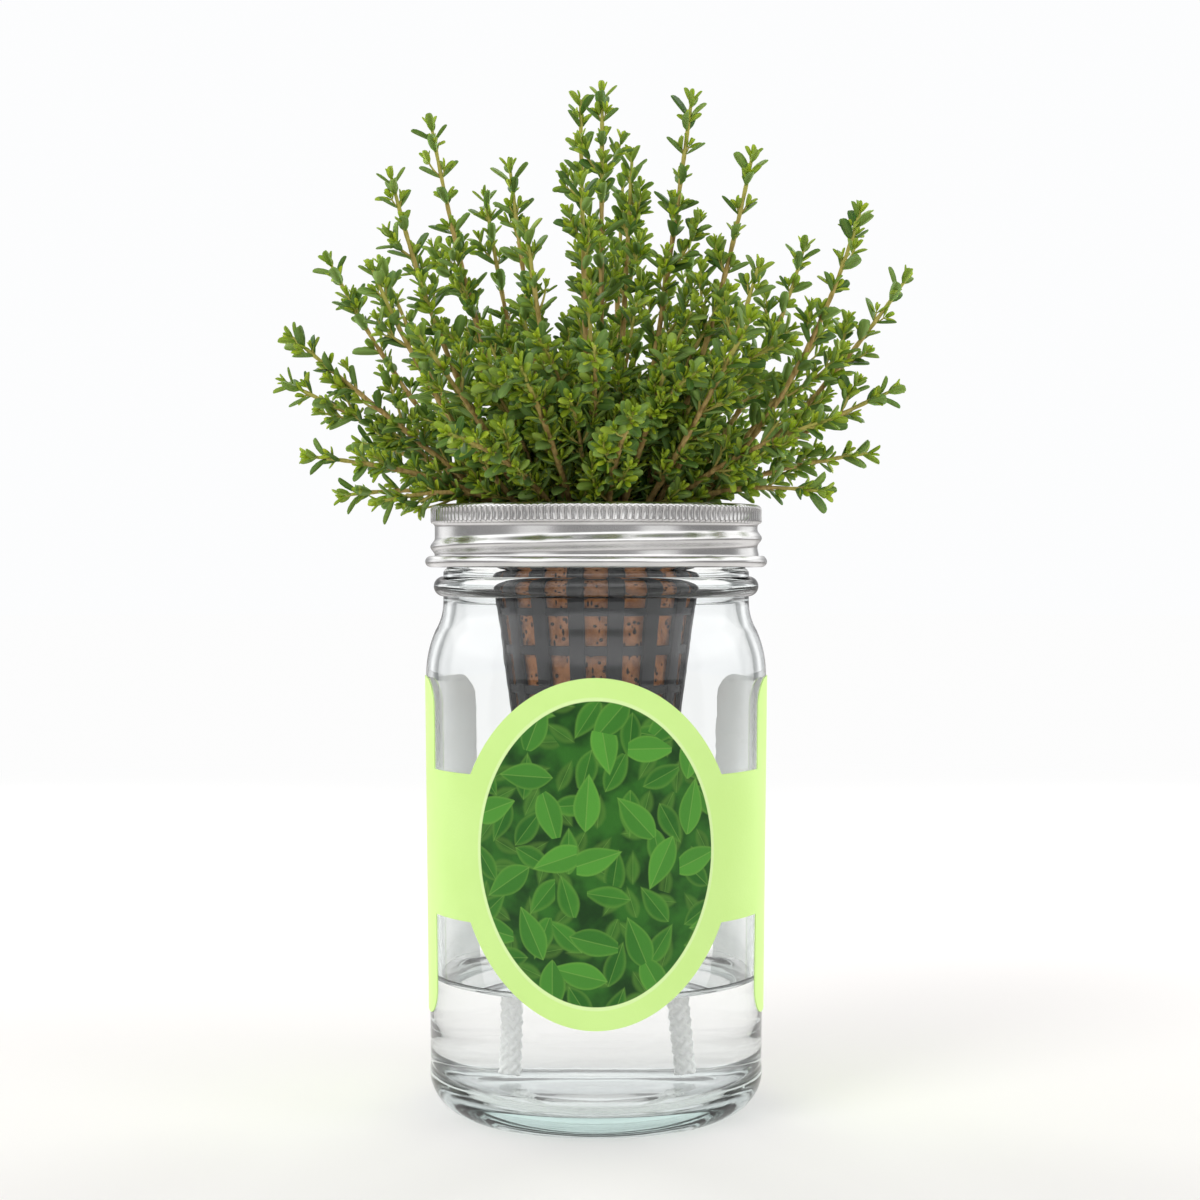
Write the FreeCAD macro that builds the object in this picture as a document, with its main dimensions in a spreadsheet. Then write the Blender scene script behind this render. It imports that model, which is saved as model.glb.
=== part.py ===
"""Hydroponic jar planter: a wide-mouth glass jar whose screw band holds a net cup with a growing plug.

Two wicks hang from the plug into the water, and a bushy herb grows out of it.
Frame: millimetres, +Z up, origin at the centre of the ring on which the jar stands, front towards -Y.
"""
import FreeCAD, Part
import math
import os
import re
import Sketcher

Vector = FreeCAD.Vector

# Driving dimensions; a text that starts with an equals sign is worked out from the others

SIZES = [
    # glass jar: its height, and the steps from the lip down to the shoulder
    ("jar_height", 168.6),
    ("finish_height", 17.0),
    ("collar_gap", 4.0),
    ("collar_half_height", 2.8),
    ("collar_fall", 4.4),
    ("throat_mid_fall", 4.3),
    ("throat_fall", 8.0),
    ("shoulder_mid_fall", 5.7),
    ("shoulder_fall", 14.2),
    ("throat_drop", 1.0),
    ("finish_foot_height", "=jar_height - finish_height"),
    ("collar_height", "=finish_foot_height - collar_gap"),
    ("neck_height", "=collar_height - collar_fall"),
    ("throat_mid_height", "=neck_height - throat_mid_fall"),
    ("throat_height", "=neck_height - throat_fall"),
    ("shoulder_mid_height", "=throat_height - shoulder_mid_fall"),
    ("shoulder_height", "=throat_height - shoulder_fall"),
    # its radii, each from the threaded finish
    ("finish_radius", 42.2),
    ("finish_step", 1.0),
    ("finish_wall", 3.6),
    ("collar_reach", 2.7),
    ("throat_mid_reach", 0.6),
    ("throat_reach", 2.2),
    ("shoulder_mid_reach", 4.1),
    ("shoulder_reach", 4.8),
    ("body_taper", 1.1),
    ("heel_bend", 2.3),
    ("ring_inset", 8.9),
    ("mouth_radius", "=finish_radius - finish_wall"),
    ("neck_radius", "=finish_radius + finish_step"),
    ("collar_radius", "=neck_radius + collar_reach"),
    ("throat_mid_radius", "=neck_radius + throat_mid_reach"),
    ("throat_radius", "=neck_radius + throat_reach"),
    ("shoulder_mid_radius", "=neck_radius + shoulder_mid_reach"),
    ("shoulder_radius", "=neck_radius + shoulder_reach"),
    ("foot_radius", "=shoulder_radius - body_taper"),
    ("heel_radius", "=foot_radius - heel_bend"),
    ("ring_radius", "=foot_radius - ring_inset"),
    # its walls, lip, heel and floor
    ("lip_round", 1.3),
    ("round_share", 0.2929),
    ("body_wall", 3.3),
    ("neck_wall", 3.6),
    ("ring_flat", 1.2),
    ("heel_mid_height", 3.9),
    ("heel_height", 13.0),
    ("floor_height", 7.2),
    ("floor_rise", 1.6),
    ("floor_crown_radius", 5.0),
    ("floor_inset", 15.9),
    ("floor_corner_inset", 6.4),
    ("floor_corner_mid_lift", 3.0),
    ("floor_corner_lift", 6.0),
    ("punt_inset", 5.0),
    ("punt_step", 1.8),
    ("punt_height", 4.2),
    ("floor_radius", "=foot_radius - floor_inset"),
    ("floor_corner_mid_radius", "=foot_radius - floor_corner_inset"),
    ("floor_corner_mid_height", "=floor_height + floor_corner_mid_lift"),
    ("floor_corner_height", "=heel_height + floor_corner_lift"),
    ("punt_radius", "=ring_radius - punt_inset"),
    # thread on the glass and in the band
    ("thread_pitch", 5.08),
    ("thread_turns", 1.25),
    ("ridge_drop", 11.4),
    ("ridge_height", 2.2),
    ("ridge_half_foot", 1.15),
    ("ridge_half_tip", 0.55),
    ("ridge_bite", 0.4),
    ("bead_turns", 0.9),
    ("bead_half_foot", 0.75),
    ("bead_half_tip", 0.45),
    ("bead_bite", 0.1),
    ("bead_engagement", 1.3),
    ("thread_clearance", 0.3),
    ("ridge_start_height", "=jar_height - ridge_drop"),
    # screw band
    ("sheet", 0.5),
    ("lip_clearance", 0.1),
    ("lip_overlap", 0.6),
    ("knurl_reach", 4.6),
    ("groove_reach", 3.7),
    ("skirt_reach", 3.4),
    ("roll_reach", 4.7),
    ("band_corner", 0.9),
    ("knurl_foot_drop", 5.2),
    ("groove_drop", 6.6),
    ("bulge_top_drop", 7.8),
    ("bulge_drop", 9.6),
    ("skirt_top_drop", 11.6),
    ("skirt_drop", 13.0),
    ("skirt_wall", 0.55),
    ("roll_radius", 1.4),
    ("roll_meet_rise", 1.2),
    ("roll_drop", 16.0),
    ("opening_radius", "=mouth_radius - lip_overlap"),
    ("knurl_radius", "=finish_radius + knurl_reach"),
    ("groove_radius", "=finish_radius + groove_reach"),
    ("bulge_radius", "=finish_radius + knurl_reach"),
    ("skirt_radius", "=finish_radius + skirt_reach"),
    ("roll_circle_radius", "=finish_radius + roll_reach"),
    # net cup
    ("cup_depth", 75.6),
    ("cup_inset", 6.4),
    ("cup_taper", 10.1),
    ("flange_thickness", 1.2),
    ("flange_reach", 3.4),
    ("cup_wall", 1.2),
    ("cup_floor", 1.5),
    ("rib_width", 4.2),
    ("hoop_height", 2.5),
    ("hoop_pitch", 10.7),
    ("first_hoop_drop", 27.8),
    ("top_window_height", 13.5),
    ("wick_hole_inset", 5.5),
    ("wick_hole_radius", 3.2),
    ("drain_radius", 2.2),
    ("drain_circle_radius", 8.5),
    ("flange_radius", "=finish_radius + flange_reach"),
    ("cup_top_radius", "=opening_radius - cup_inset"),
    ("cup_foot_radius", "=cup_top_radius - cup_taper"),
    ("cup_foot_height", "=jar_height - cup_depth"),
    ("first_hoop_height", "=jar_height - first_hoop_drop"),
    ("wick_hole_offset", "=cup_foot_radius - wick_hole_inset"),
    # growing plug, wicks and water
    ("plug_clearance", 0.3),
    ("plug_drop", 6.6),
    ("wick_radius", 2.6),
    ("wick_foot_lift", 3.0),
    ("wick_spread", 2.2),
    ("wick_room", 1.2),
    ("water_level", 37.6),
    ("water_film", 0.05),
    ("plug_top_height", "=jar_height - plug_drop"),
    ("plug_foot_height", "=cup_foot_height + cup_floor + plug_clearance"),
    ("plug_height", "=plug_top_height - plug_foot_height"),
    # paper label, between the heel and the shoulder
    ("label_gap", 0.06),
    ("label_thickness", 0.35),
    ("label_foot_gap", 15.7),
    ("label_top_lap", 1.4),
    ("oval_half_width", 37.4),
    ("oval_inset", 0.25),
    ("oval_lift", 1.85),
    ("strap_height", 40.0),
    ("panel_front_reach", 18.0),
    ("panel_back_reach", 29.2),
    ("panel_corner", 8.0),
    ("overrun", 12.0),
    ("panel_foot_height", "=heel_height + label_foot_gap"),
    ("panel_top_height", "=shoulder_height + label_top_lap"),
    ("label_middle_height", "=( panel_foot_height + panel_top_height ) / 2 + oval_lift"),
    ("oval_half_height", "=( panel_top_height - panel_foot_height ) / 2 - oval_inset"),
    # plant
    ("plant_spread", 92.0),
    ("plant_height", 124.0),
    ("crown_inset", 13.6),
    ("stem_radius", 1.05),
    ("stem_tip_radius", 0.5),
    ("leaf_length", 8.4),
    ("leaf_width", 3.3),
    ("leaf_thickness", 0.5),
    ("leaf_spacing", 7.2),
    ("leaf_gap", 0.15),
    ("leaf_free_height", 9.0),
    ("crown_radius", "=cup_top_radius - crown_inset"),
]

RIB_COUNT = 16
HOOP_COUNT = 5
DRAIN_COUNT = 6
STEM_SECTION_COUNT = 9
LEAF_RISE_DEGREES = 50.0
TIP_LEAF_RISE_DEGREES = 24.0
LEAF_TWIST_DEGREES = 20.0
LEAF_STEP_COUNT = 60
CORD_RUN_SHARE = 0.45
QUARTER_TURN = 90
FULL_TURN = 360
TINY = 1e-9

# How long each pair's leaves are from the tip down, as shares of a full leaf
LEAF_SHARES = (0.62, 0.75, 0.9, 1.0)

# Each stem: azimuth in degrees, then shares chosen by hand: its tip's reach as a share of the plant's
# spread, its tip's height as a share of the plant's height, and the place of the point that bends it,
# outwards as a share of the stem's own reach and upwards as a share of the plant's height
STEM_SHARES = [
    (150, 0.61, 0.96, 0.62, 0.38),
    (210, 0.69, 0.76, 0.66, 0.28),
    (125, 0.64, 0.82, 0.60, 0.32),
    (135, 0.39, 0.86, 0.60, 0.40),
    (107, 0.17, 1.00, 0.55, 0.50),
    (282, 0.09, 0.98, 0.50, 0.50),
    (64, 0.26, 0.88, 0.55, 0.42),
    (320, 0.37, 0.94, 0.55, 0.45),
    (325, 0.56, 0.81, 0.62, 0.34),
    (315, 0.66, 0.56, 0.62, 0.20),
    (37, 0.86, 0.70, 0.66, 0.24),
    (343, 0.82, 0.70, 0.70, 0.22),
    (2, 0.96, 0.58, 0.50, 0.18),
    (352, 0.91, 0.32, 0.34, 0.17),
    (163, 0.89, 0.64, 0.56, 0.22),
    (219, 0.82, 0.55, 0.60, 0.19),
    (141, 0.92, 0.66, 0.56, 0.22),
    (185, 0.93, 0.44, 0.42, 0.18),
    (172, 0.98, 0.35, 0.34, 0.17),
    (194, 0.88, 0.17, 0.24, 0.135),
    (242, 0.43, 0.65, 0.52, 0.26),
    (292, 0.58, 0.38, 0.46, 0.19),
    (12, 0.88, 0.19, 0.24, 0.14),
    (333, 0.75, 0.09, 0.26, 0.135),
    (178, 0.78, 0.09, 0.26, 0.135),
    (200, 0.69, 0.07, 0.28, 0.14),
    (90, 0.80, 0.52, 0.60, 0.20),
    (66, 0.78, 0.68, 0.62, 0.25),
    (116, 0.76, 0.46, 0.52, 0.20),
    (80, 0.50, 0.85, 0.58, 0.38),
    (103, 0.66, 0.30, 0.36, 0.17),
    (132, 0.86, 0.33, 0.34, 0.17),
    (50, 0.90, 0.38, 0.40, 0.18),
    (74, 0.92, 0.16, 0.24, 0.14),
    (268, 0.50, 0.50, 0.50, 0.22),
    (252, 0.68, 0.34, 0.38, 0.18),
    (306, 0.74, 0.44, 0.50, 0.20),
    (230, 0.78, 0.41, 0.46, 0.19),
    (324, 0.84, 0.24, 0.28, 0.16),
    (262, 0.30, 0.76, 0.54, 0.34),
    (278, 0.74, 0.24, 0.28, 0.16),
    (240, 0.82, 0.20, 0.26, 0.15),
    (22, 0.80, 0.50, 0.56, 0.20),
    (155, 0.84, 0.22, 0.27, 0.15),
]

# Leaves are kept in one group for each eighth of the circle, counted from the right
LEAF_GROUP_NAMES = [
    "leaves_right",
    "leaves_back_right",
    "leaves_back",
    "leaves_back_left",
    "leaves_left",
    "leaves_front_left",
    "leaves_front",
    "leaves_front_right",
]

# Where each wick's middle line goes, from the plug down to the foot of the jar: how far out past its
# hole in the basket's floor, how far to the back, and how high as a share of its whole drop
WICK_ROUTES = {
    "wick_left": [
        (0.2, 0.3, 1.0),
        (0.5, -0.3, 0.837),
        (1.1, 0.1, 0.665),
        (1.3, 0.7, 0.488),
        (1.9, 0.2, 0.317),
        (2.0, -0.5, 0.151),
        (2.4, -0.2, 0),
    ],
    "wick_right": [
        (-0.2, -0.2, 1.0),
        (-0.3, 0.5, 0.831),
        (0.2, 0.4, 0.66),
        (0.4, -0.4, 0.482),
        (1.1, -0.3, 0.323),
        (1.9, 0.4, 0.157),
        (3.0, 0.3, 0),
    ],
}

doc = FreeCAD.newDocument("JarPlanter")
sheet = doc.addObject("Spreadsheet::Sheet", "Sizes")
for row, (alias, value) in enumerate(SIZES, 1):
    sheet.set(f"A{row}", alias)
    sheet.set(f"B{row}", str(value))
    sheet.setAlias(f"B{row}", alias)
doc.recompute()


def size(text):
    """The value of a sum of driving dimensions, each written as its name."""
    value = sheet.evalExpression(text)
    return float(getattr(value, "Value", value))


def origin_feature(body, role):
    return next(item for item in body.Origin.OriginFeatures if item.Role == role)


def new_body(name):
    body = doc.addObject("PartDesign::Body", name)
    body.Label = name
    return body


def new_sketch(body, name, plane="XZ_Plane"):
    """A sketch on one of a body's own planes, or a free one in the XZ plane."""
    if body is None:
        sketch = doc.addObject("Sketcher::SketchObject", name)
        sketch.Placement = FreeCAD.Placement(Vector(), FreeCAD.Rotation(Vector(1, 0, 0), QUARTER_TURN))
        return sketch
    sketch = body.newObject("Sketcher::SketchObject", name)
    sketch.AttachmentSupport = (origin_feature(body, plane), [""])
    sketch.MapMode = "FlatFace"
    return sketch


def bind_point(sketch, geometry, end, across, up):
    """Hold one point of a sketch at two sums of named sizes."""
    for kind, text in (("DistanceX", across), ("DistanceY", up)):
        value = size(text)
        if text == "0":
            target = -2 if kind == "DistanceX" else -1
            sketch.addConstraint(Sketcher.Constraint("PointOnObject", geometry, end, target))
            continue
        index = sketch.addConstraint(Sketcher.Constraint(kind, -1, 1, geometry, end, value))
        sketch.setExpression(f"Constraints[{index}]", text)


def named(text):
    """Put the sheet's name before each size in a sum that is written with bare names."""
    known = {alias for alias, value in SIZES}
    return re.sub("[a-z_]+", lambda word: f"Sizes.{word[0]}" if word[0] in known else word[0], text)


def arc_radius(start, middle, end):
    """The radius of the arc through three points, as a sum of named sizes."""
    corners = [start, middle, end]
    sides = []
    for first, second in ((0, 1), (1, 2), (2, 0)):
        run = [f"({corners[second][axis]} - ({corners[first][axis]}))" for axis in (0, 1)]
        sides.append((f"sqrt({run[0]} * {run[0]} + {run[1]} * {run[1]})", run))
    lengths = " * ".join(length for length, run in sides)
    area = f"abs({sides[0][1][0]} * {sides[1][1][1]} - {sides[0][1][1]} * {sides[1][1][0]})"
    return f"{lengths} / (2 * {area})"


def closed_outline(sketch, rows):
    """Draw a closed outline of lines and arcs, and hold its points at sums of named sizes.

    A row (across, up) is the end of a line, and (mid across, mid up, across, up) the end of an arc.
    The outline starts where its last row ends.
    """
    rows = [tuple(named(text) for text in row) for row in rows]
    offset = sketch.GeometryCount
    count = len(rows)
    ends = []
    for number, row in enumerate(rows):
        start = rows[number - 1][-2:]
        first = Vector(size(start[0]), size(start[1]), 0)
        last = Vector(size(row[-2]), size(row[-1]), 0)
        if len(row) == 2:
            sketch.addGeometry(Part.LineSegment(first, last))
            ends.append((1, 2))
            continue
        middle = Vector(size(row[0]), size(row[1]), 0)
        leftwards = (middle - first).cross(last - middle).z > 0
        sketch.addGeometry(Part.Arc(first, middle, last) if leftwards else Part.Arc(last, middle, first))
        ends.append((1, 2) if leftwards else (2, 1))
    for number, row in enumerate(rows):
        following = (number + 1) % count
        pair = (offset + number, ends[number][1], offset + following, ends[following][0])
        sketch.addConstraint(Sketcher.Constraint("Coincident", *pair))
        bind_point(sketch, offset + number, ends[number][1], row[-2], row[-1])
    for number, row in enumerate(rows):
        if len(row) == 4:
            radius = arc_radius(rows[number - 1][-2:], row[:2], row[-2:])
            held = sketch.addConstraint(Sketcher.Constraint("Radius", offset + number, size(radius)))
            sketch.setExpression(f"Constraints[{held}]", radius)


def circle_outline(sketch, across, up, radius):
    """Draw a circle whose centre and radius are sums of named sizes."""
    across, up, radius = named(across), named(up), named(radius)
    centre = Vector(size(across), size(up), 0)
    index = sketch.addGeometry(Part.Circle(centre, Vector(0, 0, 1), size(radius)))
    bind_point(sketch, index, 3, across, up)
    held = sketch.addConstraint(Sketcher.Constraint("Radius", index, size(radius)))
    sketch.setExpression(f"Constraints[{held}]", radius)


def revolve(body, sketch, name):
    turned = body.newObject("PartDesign::Revolution", name)
    turned.Profile = sketch
    turned.ReferenceAxis = (sketch, ["V_Axis"])
    turned.Angle = FULL_TURN
    doc.recompute()
    return turned


def helix(body, sketch, name, turns):
    """A thread ridge: the sketch swept up a right-hand helix about the Z axis."""
    swept = body.newObject("PartDesign::AdditiveHelix", name)
    swept.Profile = sketch
    swept.ReferenceAxis = (sketch, ["V_Axis"])
    swept.Mode = 0
    swept.setExpression("Pitch", "Sizes.thread_pitch")
    swept.setExpression("Height", f"Sizes.thread_pitch * {turns}")
    doc.recompute()
    return swept


def pocket(body, sketch, name, length, reversed_way=False):
    """Cut a sketch's shapes out of a body, and make sure that something was cut."""
    before = body.Shape.Volume
    cut = body.newObject("PartDesign::Pocket", name)
    cut.Profile = sketch
    cut.Reversed = reversed_way
    cut.setExpression("Length", named(length))
    doc.recompute()
    if not body.Shape.Volume < before:
        raise ValueError(f"{name} cuts nothing")
    return cut


# Glass jar


def jar_outside():
    """The jar's outline from the standing ring up the outside to the foot of the threaded finish."""
    return [
        ("ring_radius + ring_flat / 2", "0"),
        ("heel_radius", "heel_mid_height", "foot_radius", "heel_height"),
        ("shoulder_radius", "shoulder_height"),
        ("shoulder_mid_radius", "shoulder_mid_height", "throat_radius", "throat_height"),
        ("throat_mid_radius", "throat_mid_height", "neck_radius", "neck_height"),
        ("neck_radius", "collar_height - collar_half_height"),
        ("collar_radius", "collar_height", "neck_radius", "collar_height + collar_half_height"),
        ("neck_radius", "finish_foot_height"),
        ("finish_radius", "finish_foot_height + finish_step"),
    ]


def jar_lip():
    """From the finish over the rounded lip and down into the mouth."""
    outer = "finish_radius - lip_round"
    inner = "mouth_radius + lip_round"
    shoulder = "jar_height - lip_round * round_share"
    return [
        ("finish_radius", "jar_height - lip_round"),
        ("finish_radius - lip_round * round_share", shoulder, outer, "jar_height"),
        (inner, "jar_height"),
        ("mouth_radius + lip_round * round_share", shoulder, "mouth_radius", "jar_height - lip_round"),
        ("mouth_radius", "finish_foot_height"),
    ]


def jar_inside():
    """Down the inside of the shoulder and wall, across the floor and back under the push-up."""
    throat = ("throat_radius - body_wall", "throat_height - throat_drop")
    shoulder_mid = ("shoulder_mid_radius - body_wall", "shoulder_mid_height - throat_drop")
    return [
        ("neck_radius - neck_wall", "neck_height"),
        ("throat_mid_radius - neck_wall", "throat_mid_height", *throat),
        (*shoulder_mid, "shoulder_radius - body_wall", "shoulder_height"),
        ("foot_radius - body_wall", "floor_corner_height"),
        ("floor_corner_mid_radius", "floor_corner_mid_height", "floor_radius", "floor_height"),
        ("floor_crown_radius", "floor_height + floor_rise"),
        ("floor_crown_radius", "punt_height"),
        ("punt_radius", "punt_step"),
        ("ring_radius - ring_flat / 2", "0"),
    ]


def make_glass_jar():
    body = new_body("glass_jar")
    section = new_sketch(body, "jar_section")
    closed_outline(section, jar_outside() + jar_lip() + jar_inside())
    revolve(body, section, "jar_turned")
    middle = new_sketch(body, "jar_floor_middle", "XY_Plane")
    middle.setExpression("AttachmentOffset.Base.z", named("punt_height"))
    circle_outline(middle, "0", "0", "floor_crown_radius")
    pad = body.newObject("PartDesign::Pad", "jar_floor")
    pad.Profile = middle
    pad.setExpression("Length", named("floor_height + floor_rise - punt_height"))
    doc.recompute()
    ridge = new_sketch(body, "ridge_section")
    foot = "finish_radius - ridge_bite"
    tip = "finish_radius + ridge_height"
    rows = [
        (foot, "ridge_start_height - ridge_half_foot"),
        (tip, "ridge_start_height - ridge_half_tip"),
        (tip, "ridge_start_height + ridge_half_tip"),
        (foot, "ridge_start_height + ridge_half_foot"),
    ]
    closed_outline(ridge, rows)
    helix(body, ridge, "jar_thread", "Sizes.thread_turns")
    return body


# Net cup


def cup_radius(height):
    """The basket's outer radius at a height, as a sum of named sizes."""
    slope = "( cup_top_radius - cup_foot_radius ) / ( jar_height - cup_foot_height )"
    return f"( cup_foot_radius + {slope} * ( {height} - cup_foot_height ) )"


def cup_gap_rows(number):
    """The turned section of the gap between two hoops, a little wider than the basket's wall."""
    hoop = f"( first_hoop_height - {number} * hoop_pitch )"
    low = f"( {hoop} + hoop_height / 2 )"
    high = f"( {hoop} + hoop_pitch - hoop_height / 2 )"
    if number == 0:
        high = f"( {low} + top_window_height )"
    reach = "2 * cup_wall"
    return [
        (f"{cup_radius(low)} - {reach}", low),
        (f"{cup_radius(low)} + {reach}", low),
        (f"{cup_radius(high)} + {reach}", high),
        (f"{cup_radius(high)} - {reach}", high),
    ]


def turned(name, rows):
    """A free outline turned about the Z axis into a solid."""
    sketch = new_sketch(None, f"{name}_section")
    closed_outline(sketch, rows)
    solid = doc.addObject("Part::Revolution", name)
    solid.Source = sketch
    solid.Axis = Vector(0, 0, 1)
    solid.Angle = FULL_TURN
    solid.Solid = True
    return solid


def upright_drill(name, radius, across, along_y):
    """A round cutter through the basket's floor."""
    drill = doc.addObject("Part::Cylinder", name)
    drill.setExpression("Radius", named(radius))
    drill.setExpression("Height", named("cup_floor + 2 * cup_wall"))
    drill.setExpression("Placement.Base.x", named(across))
    drill.setExpression("Placement.Base.y", named(along_y))
    drill.setExpression("Placement.Base.z", named("cup_foot_height - cup_wall"))
    return drill


def make_net_cup():
    """A tapered basket with a flat flange, cut by the gaps between its hoops, less the ribs."""
    floor_top = "( cup_foot_height + cup_floor )"
    rows = [
        ("0", "cup_foot_height"),
        ("cup_foot_radius", "cup_foot_height"),
        ("cup_top_radius", "jar_height"),
        ("flange_radius", "jar_height"),
        ("flange_radius", "jar_height + flange_thickness"),
        ("cup_top_radius - cup_wall", "jar_height + flange_thickness"),
        ("cup_top_radius - cup_wall", "jar_height"),
        (f"{cup_radius(floor_top)} - cup_wall", floor_top),
        ("0", floor_top),
    ]
    basket = turned("cup_basket", rows)
    rings = [turned(f"cup_gap_{number}", cup_gap_rows(number)) for number in range(HOOP_COUNT)]
    ribs = []
    reach = "cup_top_radius + overrun"
    for number in range(RIB_COUNT // 2):
        rib = doc.addObject("Part::Box", f"cup_rib_{number}")
        rib.setExpression("Length", named(f"2 * ( {reach} )"))
        rib.setExpression("Width", named("rib_width"))
        rib.setExpression("Height", named("jar_height - cup_foot_height"))
        turn = math.pi * (2 * number + 1) / RIB_COUNT
        rib.Placement.Rotation = FreeCAD.Rotation(Vector(0, 0, 1), math.degrees(turn))
        back, side = f"0 - ( {reach} )", "rib_width / 2"
        cosine, sine = f"( {math.cos(turn)} )", f"( {math.sin(turn)} )"
        rib.setExpression("Placement.Base.x", named(f"( {back} ) * {cosine} + {side} * {sine}"))
        rib.setExpression("Placement.Base.y", named(f"( {back} ) * {sine} - {side} * {cosine}"))
        rib.setExpression("Placement.Base.z", named("cup_foot_height"))
        ribs.append(rib)
    gaps = doc.addObject("Part::Compound", "cup_gaps")
    gaps.Links = rings
    rib_star = doc.addObject("Part::MultiFuse", "cup_rib_star")
    rib_star.Shapes = ribs
    windows = doc.addObject("Part::Cut", "cup_windows")
    windows.Base = gaps
    windows.Tool = rib_star
    drills = [
        upright_drill("cup_wick_hole_left", "wick_hole_radius", "0 - wick_hole_offset", "0"),
        upright_drill("cup_wick_hole_right", "wick_hole_radius", "wick_hole_offset", "0"),
    ]
    for number in range(DRAIN_COUNT):
        turn = 2 * math.pi * (number + 1 / 2) / DRAIN_COUNT
        across = f"drain_circle_radius * ( {math.cos(turn)} )"
        along_y = f"drain_circle_radius * ( {math.sin(turn)} )"
        drills.append(upright_drill(f"cup_drain_{number}", "drain_radius", across, along_y))
    tools = doc.addObject("Part::Compound", "cup_cutters")
    tools.Links = [windows] + drills
    cup = doc.addObject("Part::Cut", "net_cup")
    cup.Base = basket
    cup.Tool = tools
    cup.Label = "net_cup"
    doc.recompute()
    return cup


# Screw band


def make_screw_band():
    """Sheet-metal ring: flat lip, knurled ring, groove, thread bulge, skirt and rolled foot."""
    body = new_body("screw_band")
    section = new_sketch(body, "band_section")
    lip = "jar_height + flange_thickness + lip_clearance"
    top = f"{lip} + sheet"
    bore = "skirt_radius - skirt_wall"
    groove_mid = ("groove_radius", f"{top} - groove_drop")
    roll_height = f"{top} - roll_drop"
    rows = [
        ("opening_radius", top),
        ("knurl_radius - band_corner", top),
        (
            "knurl_radius - band_corner * round_share",
            f"{top} - band_corner * round_share",
            "knurl_radius",
            f"{top} - band_corner",
        ),
        ("knurl_radius", f"{top} - knurl_foot_drop"),
        (*groove_mid, "bulge_radius - sheet / 2", f"{top} - bulge_top_drop"),
        ("bulge_radius", f"{top} - bulge_drop", "bulge_radius - sheet / 2", f"{top} - skirt_top_drop"),
        (
            "skirt_radius",
            f"{top} - skirt_drop",
            "roll_circle_radius - roll_radius / 2",
            f"{roll_height} + roll_meet_rise",
        ),
        (
            "roll_circle_radius + roll_radius",
            roll_height,
            "roll_circle_radius",
            f"{roll_height} - roll_radius",
        ),
        (
            "roll_circle_radius - roll_radius * ( 1 - round_share )",
            f"{roll_height} - roll_radius * ( 1 - round_share )",
            "roll_circle_radius - roll_radius",
            roll_height,
        ),
        (bore, f"{roll_height} + roll_radius"),
        (bore, f"{top} - knurl_foot_drop"),
        ("knurl_radius - sheet", f"{top} - knurl_foot_drop + sheet"),
        ("knurl_radius - sheet", lip),
        ("opening_radius", lip),
    ]
    closed_outline(section, rows)
    revolve(body, section, "band_turned")
    bead = new_sketch(body, "bead_section")
    middle = "ridge_start_height - ridge_half_foot - thread_clearance - bead_half_foot"
    root = f"{bore} + bead_bite"
    tip = "finish_radius + ridge_height - bead_engagement"
    rows = [
        (root, f"{middle} - bead_half_foot"),
        (root, f"{middle} + bead_half_foot"),
        (tip, f"{middle} + bead_half_tip"),
        (tip, f"{middle} - bead_half_tip"),
    ]
    closed_outline(bead, rows)
    helix(body, bead, "band_thread", "Sizes.bead_turns")
    return body


# Water


def make_water():
    """What stands in the jar's foot, with room round each wick."""
    body = new_body("water")
    section = new_sketch(body, "water_section")
    slope = "( shoulder_radius - foot_radius ) / ( shoulder_height - floor_corner_height )"
    at_level = f"foot_radius - body_wall + {slope} * ( water_level - floor_corner_height )"
    rows = [
        ("0", "water_level"),
        ("0", "floor_height + floor_rise + water_film"),
        ("floor_crown_radius", "floor_height + floor_rise + water_film"),
        ("floor_radius", "floor_height + water_film"),
        (
            "floor_corner_mid_radius - water_film",
            "floor_corner_mid_height + water_film",
            "foot_radius - body_wall - water_film",
            "floor_corner_height",
        ),
        (f"{at_level} - water_film", "water_level"),
    ]
    closed_outline(section, rows)
    revolve(body, section, "water_turned")
    holes = new_sketch(body, "water_wick_room", "XY_Plane")
    offset = "wick_hole_offset + wick_spread"
    circle_outline(holes, offset, "0", "wick_radius + wick_room")
    circle_outline(holes, f"0 - ( {offset} )", "0", "wick_radius + wick_room")
    pocket(body, holes, "water_wick_bores", "water_level + overrun", True)
    return body


# Paper label


def label_radius(height):
    """The glass's outer radius between heel and shoulder, and the label's gap."""
    slope = "( shoulder_radius - foot_radius ) / ( shoulder_height - heel_height )"
    return f"foot_radius + {slope} * ( {height} - heel_height ) + label_gap"


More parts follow.
